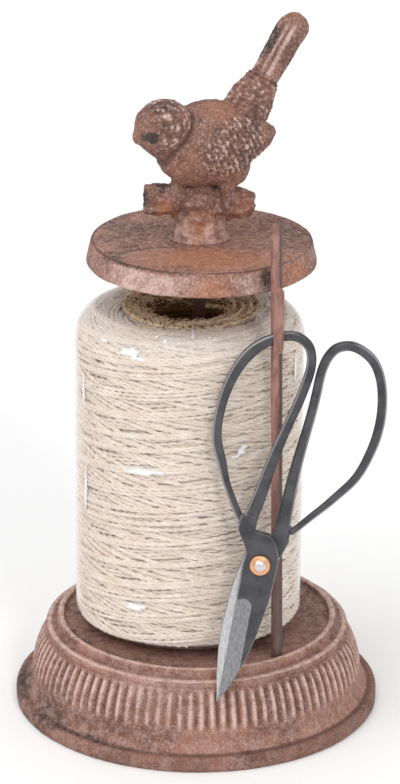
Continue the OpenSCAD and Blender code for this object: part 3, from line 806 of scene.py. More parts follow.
def birdParts(world):
    # distances from each part of the casting, with the coordinates that its surface pattern follows
    look = birdLook
    own = within(world, look["bodyMiddle"], (0, 0, look["heading"]))
    body = egg(within(own, (0, 0, 0), (0, look["bodyPitch"], 0)), look["body"], 0.08)
    body = blend(body, egg(within(own, look["backMiddle"]), look["back"]), 6)
    body = blend(body, egg(within(own, look["ventMiddle"]), look["vent"]), 5)
    headPlace = within(own, look["headMiddle"])
    parts = {"own": own, "body": body, "headPlace": headPlace, "head": birdHead(headPlace), "wings": []}
    x, y, z = look["wingMiddle"]
    roll, pitch, splay = look["wingTurn"]
    for side in (-1, 1):
        place = within(own, (x, side * y, z), (side * roll, pitch, side * splay))
        parts["wings"].append((egg(place, look["wing"], 0.28), place))
    tail = within(own, look["tailRoot"], (0, look["tailLean"], 0))
    parts["tail"] = tail
    half = look["tailHalfWidth"]
    reach = look["rumpLength"]
    girth = half + 2.0 - 2.8 * smooth(tail[2], 5, reach)
    rump = np.sqrt((tail[0] * 1.15) ** 2 + tail[1] ** 2) - girth
    parts["rump"] = both(both(rump, tail[2] - reach, 1.2), -4 - tail[2], 1.0)
    wide = half - 1.2 + 1.2 * np.clip((tail[2] - reach) / 20, 0, 1)
    flat = np.sqrt(tail[1] ** 2 + np.maximum(tail[2] - look["tailLength"] + half, 0) ** 2) - wide
    thick = np.abs(tail[0]) - look["tailThickness"] / 2
    parts["paddle"] = both(both(flat, thick, 2.2), -tail[2], 1.0)
    parts.update(logParts(world))
    return parts


def logParts(world):
    look = birdLook
    log = within(world, (0, 0, look["logHeight"]), look["logTurn"])
    girth = look["logRadius"] + 0.35 * np.cos(log[0] * 0.42 + 0.8)
    girth = girth + look["logSwell"] * np.exp(-(log[0] / 10) ** 2)
    bark = np.sqrt(log[1] ** 2 + log[2] ** 2) - girth
    half = look["logLength"] / 2
    low = boxOf("bird_finial")[0][2]
    up = world[2] - low
    rise = look["logHeight"] - low
    flare = look["stumpFlare"] * np.exp(-np.maximum(up, 0) / 2.2)
    around = np.sqrt(world[0] ** 2 + world[1] ** 2)
    wide, deep = look["stump"]
    oval = np.sqrt(world[0] ** 2 + (world[1] * wide / deep) ** 2)
    stump = (oval - (wide - look["stumpTaper"] * up / rise + flare)) * deep / wide
    return {
        "logPlace": log,
        "log": both(both(bark, -half - log[0], 0.8), log[0] - half, 3.5),
        "stump": both(both(stump, up - rise, 2), -up, 0.05),
        "bore": np.maximum(around - look["boreRadius"], up - look["boreDepth"]),
    }


def birdFeet(world):
    # two lumpy feet that grip the front of the log
    look = birdLook
    legWide, jointWide, toeWide = look["legRadii"]
    feet = []
    for across in look["feet"]:
        ankle, knuckle, toe = ((across + x, y, look["logHeight"] + z) for x, y, z in look["legJoints"])
        leg = rodField(world, ankle, knuckle, legWide, jointWide)
        feet.append(blend(leg, rodField(world, knuckle, toe, jointWide, toeWide), 1))
    return np.minimum(*feet)


def scaleRows(along, across, size):
    # rows of overlapping scales: each climbs towards its rounded edge, then drops
    row = np.floor(along / size)
    sideways = across / size + 0.5 * np.mod(row, 2)
    off = sideways - np.floor(sideways) - 0.5
    climb = along / size + 1.1 * off ** 2
    return climb - np.floor(climb)


def birdSkin(low, high):
    step = birdLook["step"]
    world = gridOver(low, high, step)
    parts = birdParts(world)
    field = blend(parts["body"], parts["head"], 0.9)
    for wing, place in parts["wings"]:
        field = blend(field, wing, 0.9)
    field = blend(field, parts["rump"], 2.2)
    field = blend(field, parts["paddle"], 0.5)
    stand = blend(parts["log"], parts["stump"], 2.5)
    field = blend(blend(field, stand, 1.0), birdFeet(world), 2.6)
    return skinField("bird_cast", np.maximum(field, -parts["bore"]), low, step)


def birdSurface(parts, lump, sand, knobs, pebbles):
    # how far each point is pushed out, and how pale or dark its relief is
    look = birdLook
    size = look["scale"]
    wingScale = np.zeros(len(lump))
    wingArea = np.zeros(len(lump))
    for wing, place in parts["wings"]:
        area = nearTo(wing, 1.1) * (1 - smooth(place[0], 8.5, 14))
        rows = scaleRows(place[0] + 0.35 * place[2] + 0.5 * knobs, place[2] + 0.6 * lump, size)
        wingScale = np.where(area > wingArea, 0.5 * rows + 0.5 * pebbles, wingScale)
        wingArea = np.maximum(wingArea, area)
    crease = nearTo(parts["head"] - parts["body"], 1.5, 0.4) * smooth(parts["own"][2], -12, -7)
    tail = parts["tail"]
    reach = look["rumpLength"]
    end = look["tailLength"]
    rumpArea = nearTo(parts["rump"], 1.0) * smooth(tail[2], 0.5, 3) * (1 - wingArea)
    rumpRows = scaleRows(tail[2] + 0.4 * knobs, np.arctan2(tail[1], tail[0]) * 7, size)
    rumpScale = 0.3 * rumpRows + 0.7 * pebbles
    collar = nearTo(tail[2] - reach + 1.0, 0.9) * nearTo(parts["rump"], 1.5)
    tailArea = nearTo(parts["paddle"], 1.0) * smooth(tail[2], reach + 0.2, reach + 1.2)
    tailArea = tailArea * (1 - smooth(tail[2], end - 9, end - 3))
    tailRows = 0.5 + 0.5 * np.cos(tail[1] * math.tau / look["tailGroove"] + 0.8 * knobs)
    log = parts["logPlace"]
    logArea = nearTo(parts["log"], 1.0)
    turn = np.arctan2(log[2], log[1])
    barkRows = 0.5 + 0.5 * np.cos(turn * 9 + 1.3 * np.sin(log[0] * 0.35) + log[0] * 0.12)
    stumpArea = nearTo(parts["stump"], 1.2)
    push = look["scaleDepth"] * (wingArea * (wingScale - 0.5) + rumpArea * (rumpScale - 0.5))
    push -= look["collarDepth"] * collar + look["creaseDepth"] * crease
    push += look["tailGrooveDepth"] * tailArea * (tailRows - 0.5)
    push += look["barkDepth"] * logArea * (barkRows - 0.5)
    push += 0.35 * lump + 0.14 * sand + (0.22 + 0.9 * stumpArea + 0.6 * logArea) * knobs
    headPlace = parts["headPlace"]
    headArea = nearTo(parts["head"], 1.0) * smooth(headPlace[0], -9, -5) * smooth(headPlace[2], -8, -5)
    relief_and_highlight = 1.6 * wingArea * (wingScale - 0.43) + 1.3 * rumpArea * (rumpScale - 0.46)
    relief_and_highlight += tailArea * (0.4 * (tailRows - 0.4) + 0.2 * smooth(-tail[1], -1, 3))
    relief_and_highlight -= 0.3 * tailArea * smooth(np.abs(tail[1]), 6.6, 7.6)
    relief_and_highlight += 0.15 * logArea * (barkRows - 0.5) + 0.22 * (stumpArea + logArea) * knobs + 0.16 * stumpArea
    relief_and_highlight += 0.9 * headArea * (pebbles - 0.3) - 0.55 * crease - 0.35 * collar
    return push, relief_and_highlight


def birdSpots(parts, lump, marks):
    shade = np.zeros(len(lump))
    for part, spots in marks.items():
        for middle, size, amount in spots:
            gap = np.sqrt(sum((parts[part][k] - middle[k]) ** 2 for k in range(3)))
            shade = np.maximum(shade, amount * (1 - smooth(gap + 1.5 * lump, 0.4 * size, size)))
    return shade


def birdCast():
    look = birdLook
    low, high = boxOf("bird_finial")
    margin = 3
    piece = birdSkin(low - margin, high + margin)
    mesh = piece.data
    points = pointsOf(mesh)
    spots = [Vector(point) for point in points]
    knobPlace = Vector(look["knobPlace"])
    lump = np.array([noise.fractal(spot * look["lumpScale"], 1.0, 2.0, 3) for spot in spots])
    sand = np.array([noise.noise(spot * look["sandScale"]) for spot in spots])
    knobs = np.array([noise.noise(spot * look["knobScale"] + knobPlace) for spot in spots])
    pebbles = np.array([noise.voronoi(spot / look["scale"])[0][0] for spot in spots])
    pebbles = 1 - np.clip(pebbles * look["pebbleSlope"], 0, 1)
    parts = birdParts(list(points.T))
    push, relief_and_highlight = birdSurface(parts, lump, sand, knobs, pebbles)
    push *= smooth(points[:, 2], low[2] + 0.05, low[2] + 1.5)  # the foot stays flat on the disc
    movePoints(mesh, points + vectorsOf(mesh, "normal") * push[:, None])
    giveAttribute(mesh, "relief_and_highlight", relief_and_highlight)
    giveAttribute(mesh, "hollow", np.maximum(-relief_and_highlight, 0))
    for layer, marks in birdMarks.items():
        giveAttribute(mesh, layer, birdSpots(parts, lump, marks))
    mesh.materials.append(finishes["bird"])
    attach(piece, "lid")
    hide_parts("bird_finial")


birdCast()
print("bird cast")

# Spool of twine
filmLow, filmHigh = boxOf("film_wrap")
coreLow = boxOf("twine_core")[0]
spool = {
    "middle": (filmLow[0] + filmHigh[0]) / 2, "radius": (filmHigh[0] - filmLow[0]) / 2,
    "low": coreLow[2], "top": filmHigh[2], "footRound": 3, "topRound": 12, "mouth": 27, "hole": 12.6,
}
spool["side"] = spool["top"] - spool["low"] - spool["footRound"] - spool["topRound"]
spool["length"] = spool["side"] + (spool["footRound"] + spool["topRound"]) * math.pi / 2
spool["length"] += spool["radius"] - spool["topRound"] - spool["mouth"]


def spoolOutline(length, inset):
    # a point on the wrapped spool's outline after a length from its lower edge, moved in by inset
    foot = spool["footRound"]
    bend = spool["topRound"]
    side = spool["side"]
    quarter = math.pi / 2
    footTurn = np.clip(length / foot, 0, quarter) - quarter
    up = np.clip(length - foot * quarter, 0, side)
    topTurn = np.clip((length - foot * quarter - side) / bend, 0, quarter)
    across = np.maximum(length - foot * quarter - side - bend * quarter, 0)
    lower = topTurn <= 0
    turn = np.where(lower, footTurn, topTurn)
    corner = np.where(lower, foot, bend)
    radius = spool["radius"] - corner * (1 - np.cos(turn)) - across
    start = np.where(lower, spool["low"] + foot + up, spool["top"] - bend)
    height = start + corner * np.sin(turn)
    outX = np.cos(turn)
    outZ = np.sin(turn)
    return radius - inset * outX, height - inset * outZ, outX, outZ


def onSpool(radius, angle, height):
    return np.stack([spool["middle"] + radius * np.cos(angle), radius * np.sin(angle), height], -1)


# Two plies twisted together along each route
def twistTwine():
    tree, given, route = newTree("twistTwine", {
        "Ply radius": "Float", "Ply offset": "Float", "Lay": "Float", "Sides": "Int", "Material": "Material",
    })
    length = made(tree, "GeometryNodeSplineParameter", None, "Length")
    route = storeField(route, "along", length)
    outward = readField(tree, "outward", "FLOAT_VECTOR")
    sideways = calcVector("CROSS_PRODUCT", made(tree, "GeometryNodeInputTangent"), outward)
    turn = length * math.tau / given("Lay") + readField(tree, "strand") * 2.4
    bundle = addNode(tree, "GeometryNodeJoinGeometry")
    for half in (0.0, math.pi):
        at = turn + half
        out = calcVector("SCALE", outward, None, calc("COSINE", at) * given("Ply offset"))
        over = calcVector("SCALE", sideways, None, calc("SINE", at) * given("Ply offset"))
        shift = calcVector("ADD", out, over)
        ply = made(tree, "GeometryNodeSetPosition", {0: route, "Offset": shift})
        send(tube(ply, given("Sides"), given("Ply radius")), bundle.inputs[0])
    return finishTree(wire(tree, bundle.outputs[0]), given("Material"))


twineTree = twistTwine()


def layTwine(name, routes, look, material, node):
    # routes: points, outward directions and strand number of each
    points, outward, strands = zip(*routes)
    source = edgeStrips(name + "_routes", points)
    giveAttribute(source.data, "outward", np.concatenate(outward), "FLOAT_VECTOR")
    giveAttribute(source.data, "strand", np.repeat(strands, [len(line) for line in points]))
    piece = grow(name, source, twineTree, {
        "Ply radius": look["plyRadius"] * mm, "Ply offset": look["plyOffset"] * mm, "Lay": look["lay"] * mm,
        "Sides": look["sides"], "Material": material,
    })
    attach(piece, "spool")
    if node:
        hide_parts(node)


# Layers of crossing turns: of each group of strands only the first few are kept
layers = {
    "twine_under": {
        "strands": 28, "turns": 3.2, "inset": 2.6, "group": 1, "kept": 1, "waver": 0.3, "step": 2.16,
        "plyRadius": 0.6, "plyOffset": 0.44, "lay": 8.0, "sides": 4, "from": 0.8, "short": 0.8,
    },
    "twine_over": {
        "strands": 28, "turns": -2.9, "inset": 1.9, "group": 8, "kept": 6, "waver": 0.5, "step": 1.93,
        "plyRadius": 0.56, "plyOffset": 0.4, "lay": 7.4, "sides": 5, "from": 0.6, "short": 0.5,
    },
    "twine_outer": {
        "strands": 33, "turns": 4.4, "inset": 1.3, "group": 9, "kept": 3, "waver": 0.6, "step": 1.58,
        "plyRadius": 0.54, "plyOffset": 0.4, "lay": 7.0, "sides": 5, "from": 2.2, "short": 5,
    },
}


def windLayer(name):
    look = layers[name]
    routes = []
    run = abs(look["turns"]) * math.tau * spool["radius"]
    share = np.linspace(0, 1, int(run / look["step"]))
    climb = spool["length"] - look["short"] - look["from"]
    ends = smooth(share, 0, 0.05) * smooth(-share, -1, -0.95)
    for strand in range(look["strands"]):
        if strand % look["group"] >= look["kept"]:
            continue
        swing = look["waver"] * (np.sin(share * 17 + strand * 2.1) + 0.6 * np.sin(share * 41 + strand * 3.7))
        length = look["from"] + climb * share + swing * ends
        angle = math.tau * (strand / look["strands"] + look["turns"] * share)
        radius, height, outX, outZ = spoolOutline(length, look["inset"])
        outward = np.column_stack([outX * np.cos(angle), outX * np.sin(angle), outZ])
        routes.append((onSpool(radius, angle, height), outward, float(strand)))
    layTwine(name, routes, look, finishes["twine"], "twine_winding")


for layerName in layers:
    windLayer(layerName)

mouthLook = {
    "turns": 7.2, "boreTurns": 18, "step": 1.2, "plyRadius": 0.64, "plyOffset": 0.48, "lay": 6.5, "sides": 5,
    "puff": 1.2, "dish": 3.0, "boreDepth": 34, "lip": 14.9, "edge": 0.7, "meanRadius": 20, "strands": (3, 8),
    # sizes and rates of the strands' waves, across and up the ring and on the bore's wall
    "across": ((0.7, 60), (0.5, 143)), "up": ((0.5, 47), (0.6, 118)), "wall": ((0.25, 80),), "wallOut": 0.4,
    "ringDrop": 1.7, "boreDrop": 5.2,
}


def waves(share, terms):
    return sum(size * np.sin(share * rate) for size, rate in terms)


def mouthHeight(share):
    # the loose ring round the hole swells up, then dips into the hole
    swell = mouthLook["puff"] * np.sin(math.pi * np.clip(share, 0, 1))
    return spool["top"] - mouthLook["ringDrop"] + swell - mouthLook["dish"] * share ** 4


def windMouth():
    look = mouthLook
    ringStrand, boreStrand = look["strands"]
    outer = spool["mouth"] + look["edge"]
    share = np.linspace(0, 1, int(look["turns"] * math.tau * look["meanRadius"] / look["step"]))
    radius = outer - (outer - look["lip"]) * share + waves(share, look["across"])
    height = mouthHeight(share) + waves(share, look["up"])
    ring = onSpool(radius, math.tau * look["turns"] * share, height)
    up = np.tile([0.0, 0.0, 1.0], (len(share), 1))
    depth = np.linspace(0, 1, int(look["boreTurns"] * math.tau * spool["hole"] / look["step"]))
    around = -math.tau * look["boreTurns"] * depth
    wall = spool["hole"] + look["wallOut"] + waves(depth, look["wall"])
    bore = onSpool(wall, around, spool["top"] - look["boreDrop"] - look["boreDepth"] * depth)
    inward = np.column_stack([-np.cos(around), -np.sin(around), np.zeros_like(depth)])
    layTwine("twine_mouth", [(ring, up, float(ringStrand))], look, finishes["mouth"], None)
    # the bore's wall in the darker copy of the jute, painted shade
    layTwine("twine_bore", [(bore, inward, float(boreStrand))], look, finishes["throat"], None)


windMouth()

# Loose fibres that stand out of the ring, pale ones and a few dark ones between them in the painted-shade
# copy of the jute
fuzzLook = {
    "count": {"mouth": 1500, "throat": 420}, "seeds": {"mouth": 11, "throat": 12}, "reach": 3.6, "lift": 2.6,
    "radius": 0.12, "joints": 4,
}


def fuzzNodes():
    tree, given, hairs = newTree("fuzz", {"Radius": "Float", "Material": "Material"})
    return finishTree(tube(hairs, 3, given("Radius")), given("Material"))


fuzzTree = fuzzNodes()


def growFuzz(finish):
    look = fuzzLook
    dice = np.random.default_rng(look["seeds"][finish])
    span = spool["mouth"] - mouthLook["lip"]
    bend = np.linspace(0, 1, look["joints"])[:, None]
    strips = []
    for hair in range(look["count"][finish]):
        share = dice.uniform(-0.02, 1.06)
        angle = dice.uniform(0, math.tau)
        start = onSpool(spool["mouth"] - span * share, angle, mouthHeight(share))
        heading = angle + math.pi / 2 + dice.normal(0, 0.7)
        away = np.array([math.cos(heading), math.sin(heading), 0]) * look["reach"] * dice.uniform(0.4, 1.3)
        lift = look["lift"] * dice.uniform(0.2, 1.2) * (1 - 0.7 * share)
        curl = np.array([0, 0, 1]) * lift * np.sin(bend * math.pi * 0.8)
        strips.append(start + away * bend + curl)
    source = edgeStrips("twine_fuzz_routes", strips)
    values = {"Radius": look["radius"] * mm, "Material": finishes[finish]}
    piece = grow("twine_fuzz_" + finish, source, fuzzTree, values)
    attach(piece, "spool")


for fuzzFinish in fuzzLook["seeds"]:
    growFuzz(fuzzFinish)

bulkLook = {"around": 240, "unevenness": 0.4, "roughness": 0.3, "inset": 3.4, "holeOut": 0.6, "footGap": 0.6}


def twineBulk():
    # pale wound bulk behind the outer layers, and the throat inside the ring in a darker copy of the jute,
    # painted shade
    look = bulkLook
    foot = spool["low"] + look["footGap"]
    top = spool["top"]
    flat = top - look["inset"]
    hole = spool["hole"] + look["holeOut"]
    mouth = spool["mouth"]
    side = spool["radius"] - look["inset"]
    bend = spool["topRound"] - look["inset"]
    shoulder = top - spool["topRound"]
    outer = straight((mouth, foot), (mouth, top - 4.2), 10) + [(mouth + 1.5, flat + 0.6)]
    outer += straight((mouth + 3, flat), (side - bend, flat), 3)
    outer += arcPoints((side - bend, shoulder), bend, 80, 0, 6)
    outer += straight((side, shoulder - 3), (side, foot + 3.4), 20)
    outer += [(side, foot + 0.9), (side - 1, foot)]
    inner = straight((hole, foot), (hole, top - 7), 20)
    inner += straight((hole + 0.6, top - 5.6), (hole + 4, top - 2.4), 3)
    inner += straight((hole + 6, top - 1.6), (mouth - 1, top - 2.6), 4)
    inner += [(mouth - 0.2, top - 4.4), (mouth - 0.2, foot)]
    for name, profile, finish, node in (
        ("twine_bulk", outer, "twine", "twine_core"), ("twine_throat", inner, "throat", None),
    ):
        piece = turnedPiece(name, profile, look, finishes[finish])
        shiftPiece(piece, spool["middle"])
        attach(piece, "spool")
        if node:
            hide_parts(node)


twineBulk()
print("twine wound")

# Clear film round the spool
filmLook = {
    "around": 400, "rows": 120, "inset": 0.35, "wave": 0.15, "thickness": 0.12, "ragged": 0.27,
    "gleam": 0.95, "milk": 0.14, "creaseAround": 4.2, "creaseUp": 0.045, "from": 1.4, "short": 0.1,
    "waveLevel": 0.6, "gleamFade": (0.38, 0.62), "milkDepth": (10, 2),
    # places of the painted white reflections: angle from the front in degrees, height, half width, half
    # height, tilt
    "gleams": (
        (-31.5, 162.4, 6, 2.0, 0.06), (-25, 161, 6, 0.9, 0.1), (-23, 114.5, 9, 1.4, 0.12),
        (-27.5, 56.5, 4.6, 1.2, 0.1), (24.5, 121.5, 5, 1.0, 0.35), (27, 124, 3, 1.2, 0.3),
        (-50, 164, 2, 0.7, 0.1), (-14, 167.3, 1.6, 0.5, 0), (12, 168.2, 1.4, 0.3, 0),
        (2, 168.5, 1.2, 0.25, 0.1), (-6, 167, 1.2, 0.4, 0), (-20, 168, 1.4, 0.5, 0.2),
        (-66, 140, 1.2, 8, 0), (-64, 100, 1.1, 11, 0), (66, 150, 1.2, 7, 0),
    ),
}


def filmRumple(length, angle):
    around = filmLook["creaseAround"]
    spots = np.stack([np.cos(angle) * around, np.sin(angle) * around, length * filmLook["creaseUp"]], -1)
    values = []
    for spot in map(Vector, spots.reshape(-1, 3)):
        values.append(noise.noise(spot) + 0.5 * noise.noise(spot * 2.7))
    return np.array(values).reshape(length.shape)


def filmSleeve():
    look = filmLook
    count = look["around"]
    lengths = np.linspace(look["from"], spool["length"] - look["short"], look["rows"])
    angles = np.linspace(0, math.tau, count, endpoint=False)
    length, angle = np.meshgrid(lengths, angles, indexing="ij")
    radius, height, outX, outZ = spoolOutline(length, look["inset"])
    rumple = filmRumple(length, angle)
    shift = look["wave"] * (rumple - look["waveLevel"])
    radius = radius + shift * outX
    height = height + shift * outZ
    points = onSpool(radius, angle, height).reshape(-1, 3)
    row, column = np.meshgrid(np.arange(look["rows"] - 1) * count, np.arange(count), indexing="ij")
    beside = (column + 1) % count
    faces = np.stack([row + column, row + beside, row + count + beside, row + count + column], -1)
    piece = meshPiece("film_sleeve", points, faces.reshape(-1, 4))
    glint = np.zeros(length.shape)
    fromFront = np.degrees(np.arctan2(np.cos(angle), -np.sin(angle)))
    for middle, level, wide, tall, tilt in look["gleams"]:
        across = np.radians(fromFront - middle) * spool["radius"]
        up = height - level - tilt * across
        spot = np.exp(-(across / wide) ** 2 - (up / tall) ** 2) + look["ragged"] * rumple
        glint = np.maximum(glint, smooth(spot, *look["gleamFade"]))
    milk = look["milk"] * smooth(height, *(spool["top"] - depth for depth in look["milkDepth"]))
    giveAttribute(piece.data, "glint", look["gleam"] * glint)
    giveAttribute(piece.data, "milk", milk)
    piece.data.materials.append(finishes["film"])
    wall = piece.modifiers.new("wall", "SOLIDIFY")
    wall.thickness = look["thickness"] * mm
    wall.offset = -1
    mesh = bakedMesh(piece)
    piece.modifiers.remove(wall)
    piece.data = mesh
    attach(piece, "spool")
    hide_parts("film_wrap")


filmSleeve()
print("film shrunk on")

# Scissors, drawn flat: X to the right, Y towards the handles, Z towards the front, the rivet at the origin
cutLook = {
    "step": 0.25, "handleLength": 92.2, "handleHalf": 31.8, "barRadius": 1.85, "barCorner": 1.25,
    "loopGap": 0.6, "shankHalf": 3, "bladeLength": 59.5, "bladeHalf": 7.7, "bladeThickness": 2.4,
    "edgeThickness": 0.45, "halfGap": 0.05, "bevelWidth": 6, "bevelGap": 7, "boreRadius": 1.65,
    "hangTurn": 16, "margin": 1.5, "rootShare": 3 / 17, "endThin": 0.3, "thinFrom": 0.7,
    "loop": (
        (0.165, 0.145), (0.12, 0.28), (0.085, 0.43), (0.045, 0.61), (0.01, 0.78), (0, 0.87),
        (0.04, 0.935), (0.14, 0.98), (0.34, 1), (0.6, 0.975), (0.78, 0.92), (0.91, 0.835),
        (0.985, 0.728), (1, 0.61), (0.93, 0.478), (0.71, 0.36), (0.49, 0.262), (0.3, 0.175),
    ),
}
# How the halves are bent by hand: how far, and between which places across and up the bend comes in
bendLook = {
    "frontSpread": 2.3, "spreadAcross": (19.5, 29.5), "spreadUp": (22, 48),
    "innerShift": 1.0, "innerAcross": (8, 19.5), "innerUp": (22, 60),
    "rearShift": 1.7, "rearRise": 2.4, "rearUp": (25, 90),
    "neckShift": 2.2, "outerShift": 0.9, "outerAcross": (9, 16), "neckUp": (3, 14),
    "neckEnd": (34, 72), "outerEnd": (26, 47),
}
scissorJoint = next(joint for joint in frame["joints"] if joint["name"] == "scissors_open")
turnOver = np.diag([-1.0, 1.0, -1.0])


def onHook(points):
    pivot = Vector(scissorJoint["pos_m"]) / mm
    axis = Vector(scissorJoint["axis"])
    lean = Matrix.Rotation(math.pi / 2 - math.atan2(-axis.z, axis.y), 3, "X")
    turn = lean @ Matrix.Rotation(-math.radians(cutLook["hangTurn"]), 3, "Z")
    return points @ np.array(turn).T + np.array(pivot)


def curveThrough(knots, steps):
    knots = np.array(knots)
    line = []
    last = len(knots) - 1
    for i in range(last):
        a, b, c, d = (knots[min(max(k, 0), last)] for k in (i - 1, i, i + 1, i + 2))
        for u in np.arange(steps) / steps:
            bend = (2 * a - 5 * b + 4 * c - d) * u ** 2 + (3 * b - a - 3 * c + d) * u ** 3
            line.append(0.5 * (2 * b + (c - a) * u + bend))
    return np.array(line + [knots[last]])


def lineGap(x, y, line):
    # distance from a line of points, and how far along the line the nearest spot is
    best = np.full(np.broadcast(x, y).shape, 1e6)
    share = np.zeros_like(best)
    for i in range(len(line) - 1):
        ahead = line[i + 1] - line[i]
        u = np.clip(((x - line[i][0]) * ahead[0] + (y - line[i][1]) * ahead[1]) / ahead.dot(ahead), 0, 1)
        gap = np.hypot(x - line[i][0] - u * ahead[0], y - line[i][1] - u * ahead[1])
        share = np.where(gap < best, i + u, share)
        best = np.minimum(gap, best)
    return best, share / (len(line) - 1)


def outlineGap(x, y, outline):
    gap = lineGap(x, y, np.vstack([outline, outline[:1]]))[0]
    inside = np.zeros(gap.shape, bool)
    for a, b in zip(outline, np.roll(outline, -1, 0)):
        crosses = (a[1] > y) != (b[1] > y)
        inside ^= crosses & (x < (b[0] - a[0]) * (y - a[1]) / (b[1] - a[1] + 1e-9) + a[0])
    return np.where(inside, -gap, gap)


def handleKnots():
    look = cutLook
    bar = look["barRadius"]
    inner = bar + look["loopGap"]
    wide = look["handleHalf"] - bar - inner
    return [(inner + px * wide, py * (look["handleLength"] - bar)) for px, py in look["loop"]]


def bladeOutline(knots):
    look = cutLook
    long = look["bladeLength"]
    wide = look["bladeHalf"]
    shank = look["shankHalf"]
    neck = wide * 0.84
    shoulder = wide * 1.58
    shankX, shankY = knots[0][0], knots[0][1] + shank * 1.5
    edgeTop = (-wide * 0.72, -long * 0.14)
    back = [
        (wide * 0.45, -long * 0.8), (wide * 0.75, -long * 0.63), (wide * 0.92, -long * 0.45),
        (wide, -long * 0.2), (wide * 0.92, -wide * 0.4),
    ]
    crown = [(neck, wide * 0.5), (neck * 0.77, shoulder * 0.82), (shank, shoulder), (-shank * 1.13, shoulder)]
    root = [
        (-shank * 1.27, shankY), (-shankX - shank, shankY), (-shankX - shank * 1.13, shoulder * 0.93),
    ]
    heel = [(-neck * 1.3, shoulder * 0.59), (-neck, wide * 0.4), (-neck, -wide * 0.26)]
    return np.array([(0, -long)] + back + crown + root + heel + [edgeTop]), np.array(edgeTop)


def fromEdge(x, y, edgeTop):
    # distance off the cutting edge and down along it
    edge = np.array([0, -cutLook["bladeLength"]]) - edgeTop
    edge /= np.linalg.norm(edge)
    off = (x - edgeTop[0]) * -edge[1] + (y - edgeTop[1]) * edge[0]
    down = (x - edgeTop[0]) * edge[0] + (y - edgeTop[1]) * edge[1]
    return off, down


def onBevel(off, down, slack=0.0):
    # the ground strip, with a round upper end at its back
    half = cutLook["bevelWidth"] / 2
    begin = cutLook["bevelGap"] + half
    ground = (down > begin) | (np.hypot(down - begin, off - half) < half + slack)
    return ground | ((down > begin - 0.8 * half) & (off < half))


def loopField(x, y, z, knots):
    # a bar with rounded corners along the loop, flattened into the blade at its root and thinner at its end
    look = cutLook
    bar = look["barRadius"]
    corner = look["barCorner"]
    half = look["bladeThickness"] / 2
    gap, share = lineGap(x[:, :, 0], y[:, :, 0], curveThrough(knots, 6) * np.array([-1, 1]))
    root = np.clip(1 - share / look["rootShare"], 0, 1)
    thin = 1 - look["endThin"] * smooth(share, look["thinFrom"], 1.0)
    halfWide = (bar + root * (look["shankHalf"] - bar)) * thin
    halfThick = ((bar + root * (half - bar)) * thin)[:, :, None]
    level = (root * (half + look["halfGap"]))[:, :, None]
    sideGap = (gap - halfWide)[:, :, None] + corner
    flatGap = np.abs(z - level) - halfThick + corner
    outside = np.hypot(np.maximum(sideGap, 0), np.maximum(flatGap, 0))
    return outside + np.minimum(np.maximum(sideGap, flatGap), 0) - corner


def bladeField(x, y, z, outline, edgeTop):
    look = cutLook
    gap = outlineGap(x[:, :, 0], y[:, :, 0], outline)
    off, down = fromEdge(x[:, :, 0], y[:, :, 0], edgeTop)
    full = look["halfGap"] + look["bladeThickness"]
    slope = (look["bladeThickness"] - look["edgeThickness"]) / look["bevelWidth"]
    plane = look["halfGap"] + look["edgeThickness"] + np.maximum(off, 0) * slope
    roof = np.where(onBevel(off, down), np.minimum(plane, full), full)
    return both(gap[:, :, None], np.maximum(z - roof[:, :, None], look["halfGap"] - z), 0.35)


def scissorHalf():
    # the front half as points, faces and the shares of ground and polished steel and of rubbed edges with
    # painted highlights
    look = cutLook
    margin = look["margin"]
    knots = handleKnots()
    outline, edgeTop = bladeOutline(knots)
    low = np.array([-look["handleHalf"] - margin, -look["bladeLength"] - margin, -look["barRadius"] - 1.0])
    high = np.array([look["bladeHalf"], look["handleLength"], look["bladeThickness"]]) + margin
    x, y, z = gridOver(low, high, look["step"])
    field = blend(loopField(x, y, z, knots), bladeField(x, y, z, outline, edgeTop), 0.4)
    field = np.maximum(field, look["boreRadius"] - np.hypot(x, y))
    piece = skinField("scissor_skin", field, low, look["step"])
    points = pointsOf(piece.data)
    normals = vectorsOf(piece.data, "normal")
    faces = np.array([tuple(face.vertices) for face in piece.data.polygons])
    bpy.data.objects.remove(piece)
    off, down = fromEdge(points[:, 0], points[:, 1], edgeTop)
    inFront = points[:, 2] > look["halfGap"] + 0.2
    innerFace = (points[:, 2] < look["halfGap"] + 0.2) & (points[:, 2] > -0.3)
    # edges between the flat faces are rubbed bright with a painted highlight, on the loops only at their
    # left, as a painted highlight where the light falls
    facing = np.abs(normals[:, 2])
    rubbed_and_highlight = smooth(facing, 0.25, 0.5) * (1 - smooth(facing, 0.8, 0.96))
    onLoop = smooth(points[:, 1], look["bladeHalf"], look["bladeHalf"] * 2)
    rubbed_and_highlight *= 0.8 * (1 - onLoop) + 0.55 * onLoop * smooth(-normals[:, 0], -0.1, 0.3)
    return points, faces, {
        "ground": onBevel(off, down, 0.2) & (off < look["bevelWidth"] + 0.2) & inFront,
        "polish": innerFace & (points[:, 1] < 4),
        "rubbed_and_highlight": rubbed_and_highlight,
    }


def moved(points, across, up=0.0):
    shift = np.zeros(points.shape)
    shift[:, 0] = across
    shift[:, 1] = up
    return points + shift


def bentFront(points):
    # the front loop is bent a little wider than the rear one, beyond the place where it hangs
    look = bendLook
    left, up = -points[:, 0], points[:, 1]
    spread = look["frontSpread"] * smooth(left, *look["spreadAcross"]) * smooth(up, *look["spreadUp"])
    spread += look["innerShift"] * (1 - smooth(left, *look["innerAcross"])) * smooth(up, *look["innerUp"])
    return moved(points, -spread)


def bentRear(points):
    # the rear loop stands a little higher, closer to the front one
    rise = smooth(points[:, 1], *bendLook["rearUp"])
    return moved(points @ turnOver, -bendLook["rearShift"] * rise, bendLook["rearRise"] * rise)


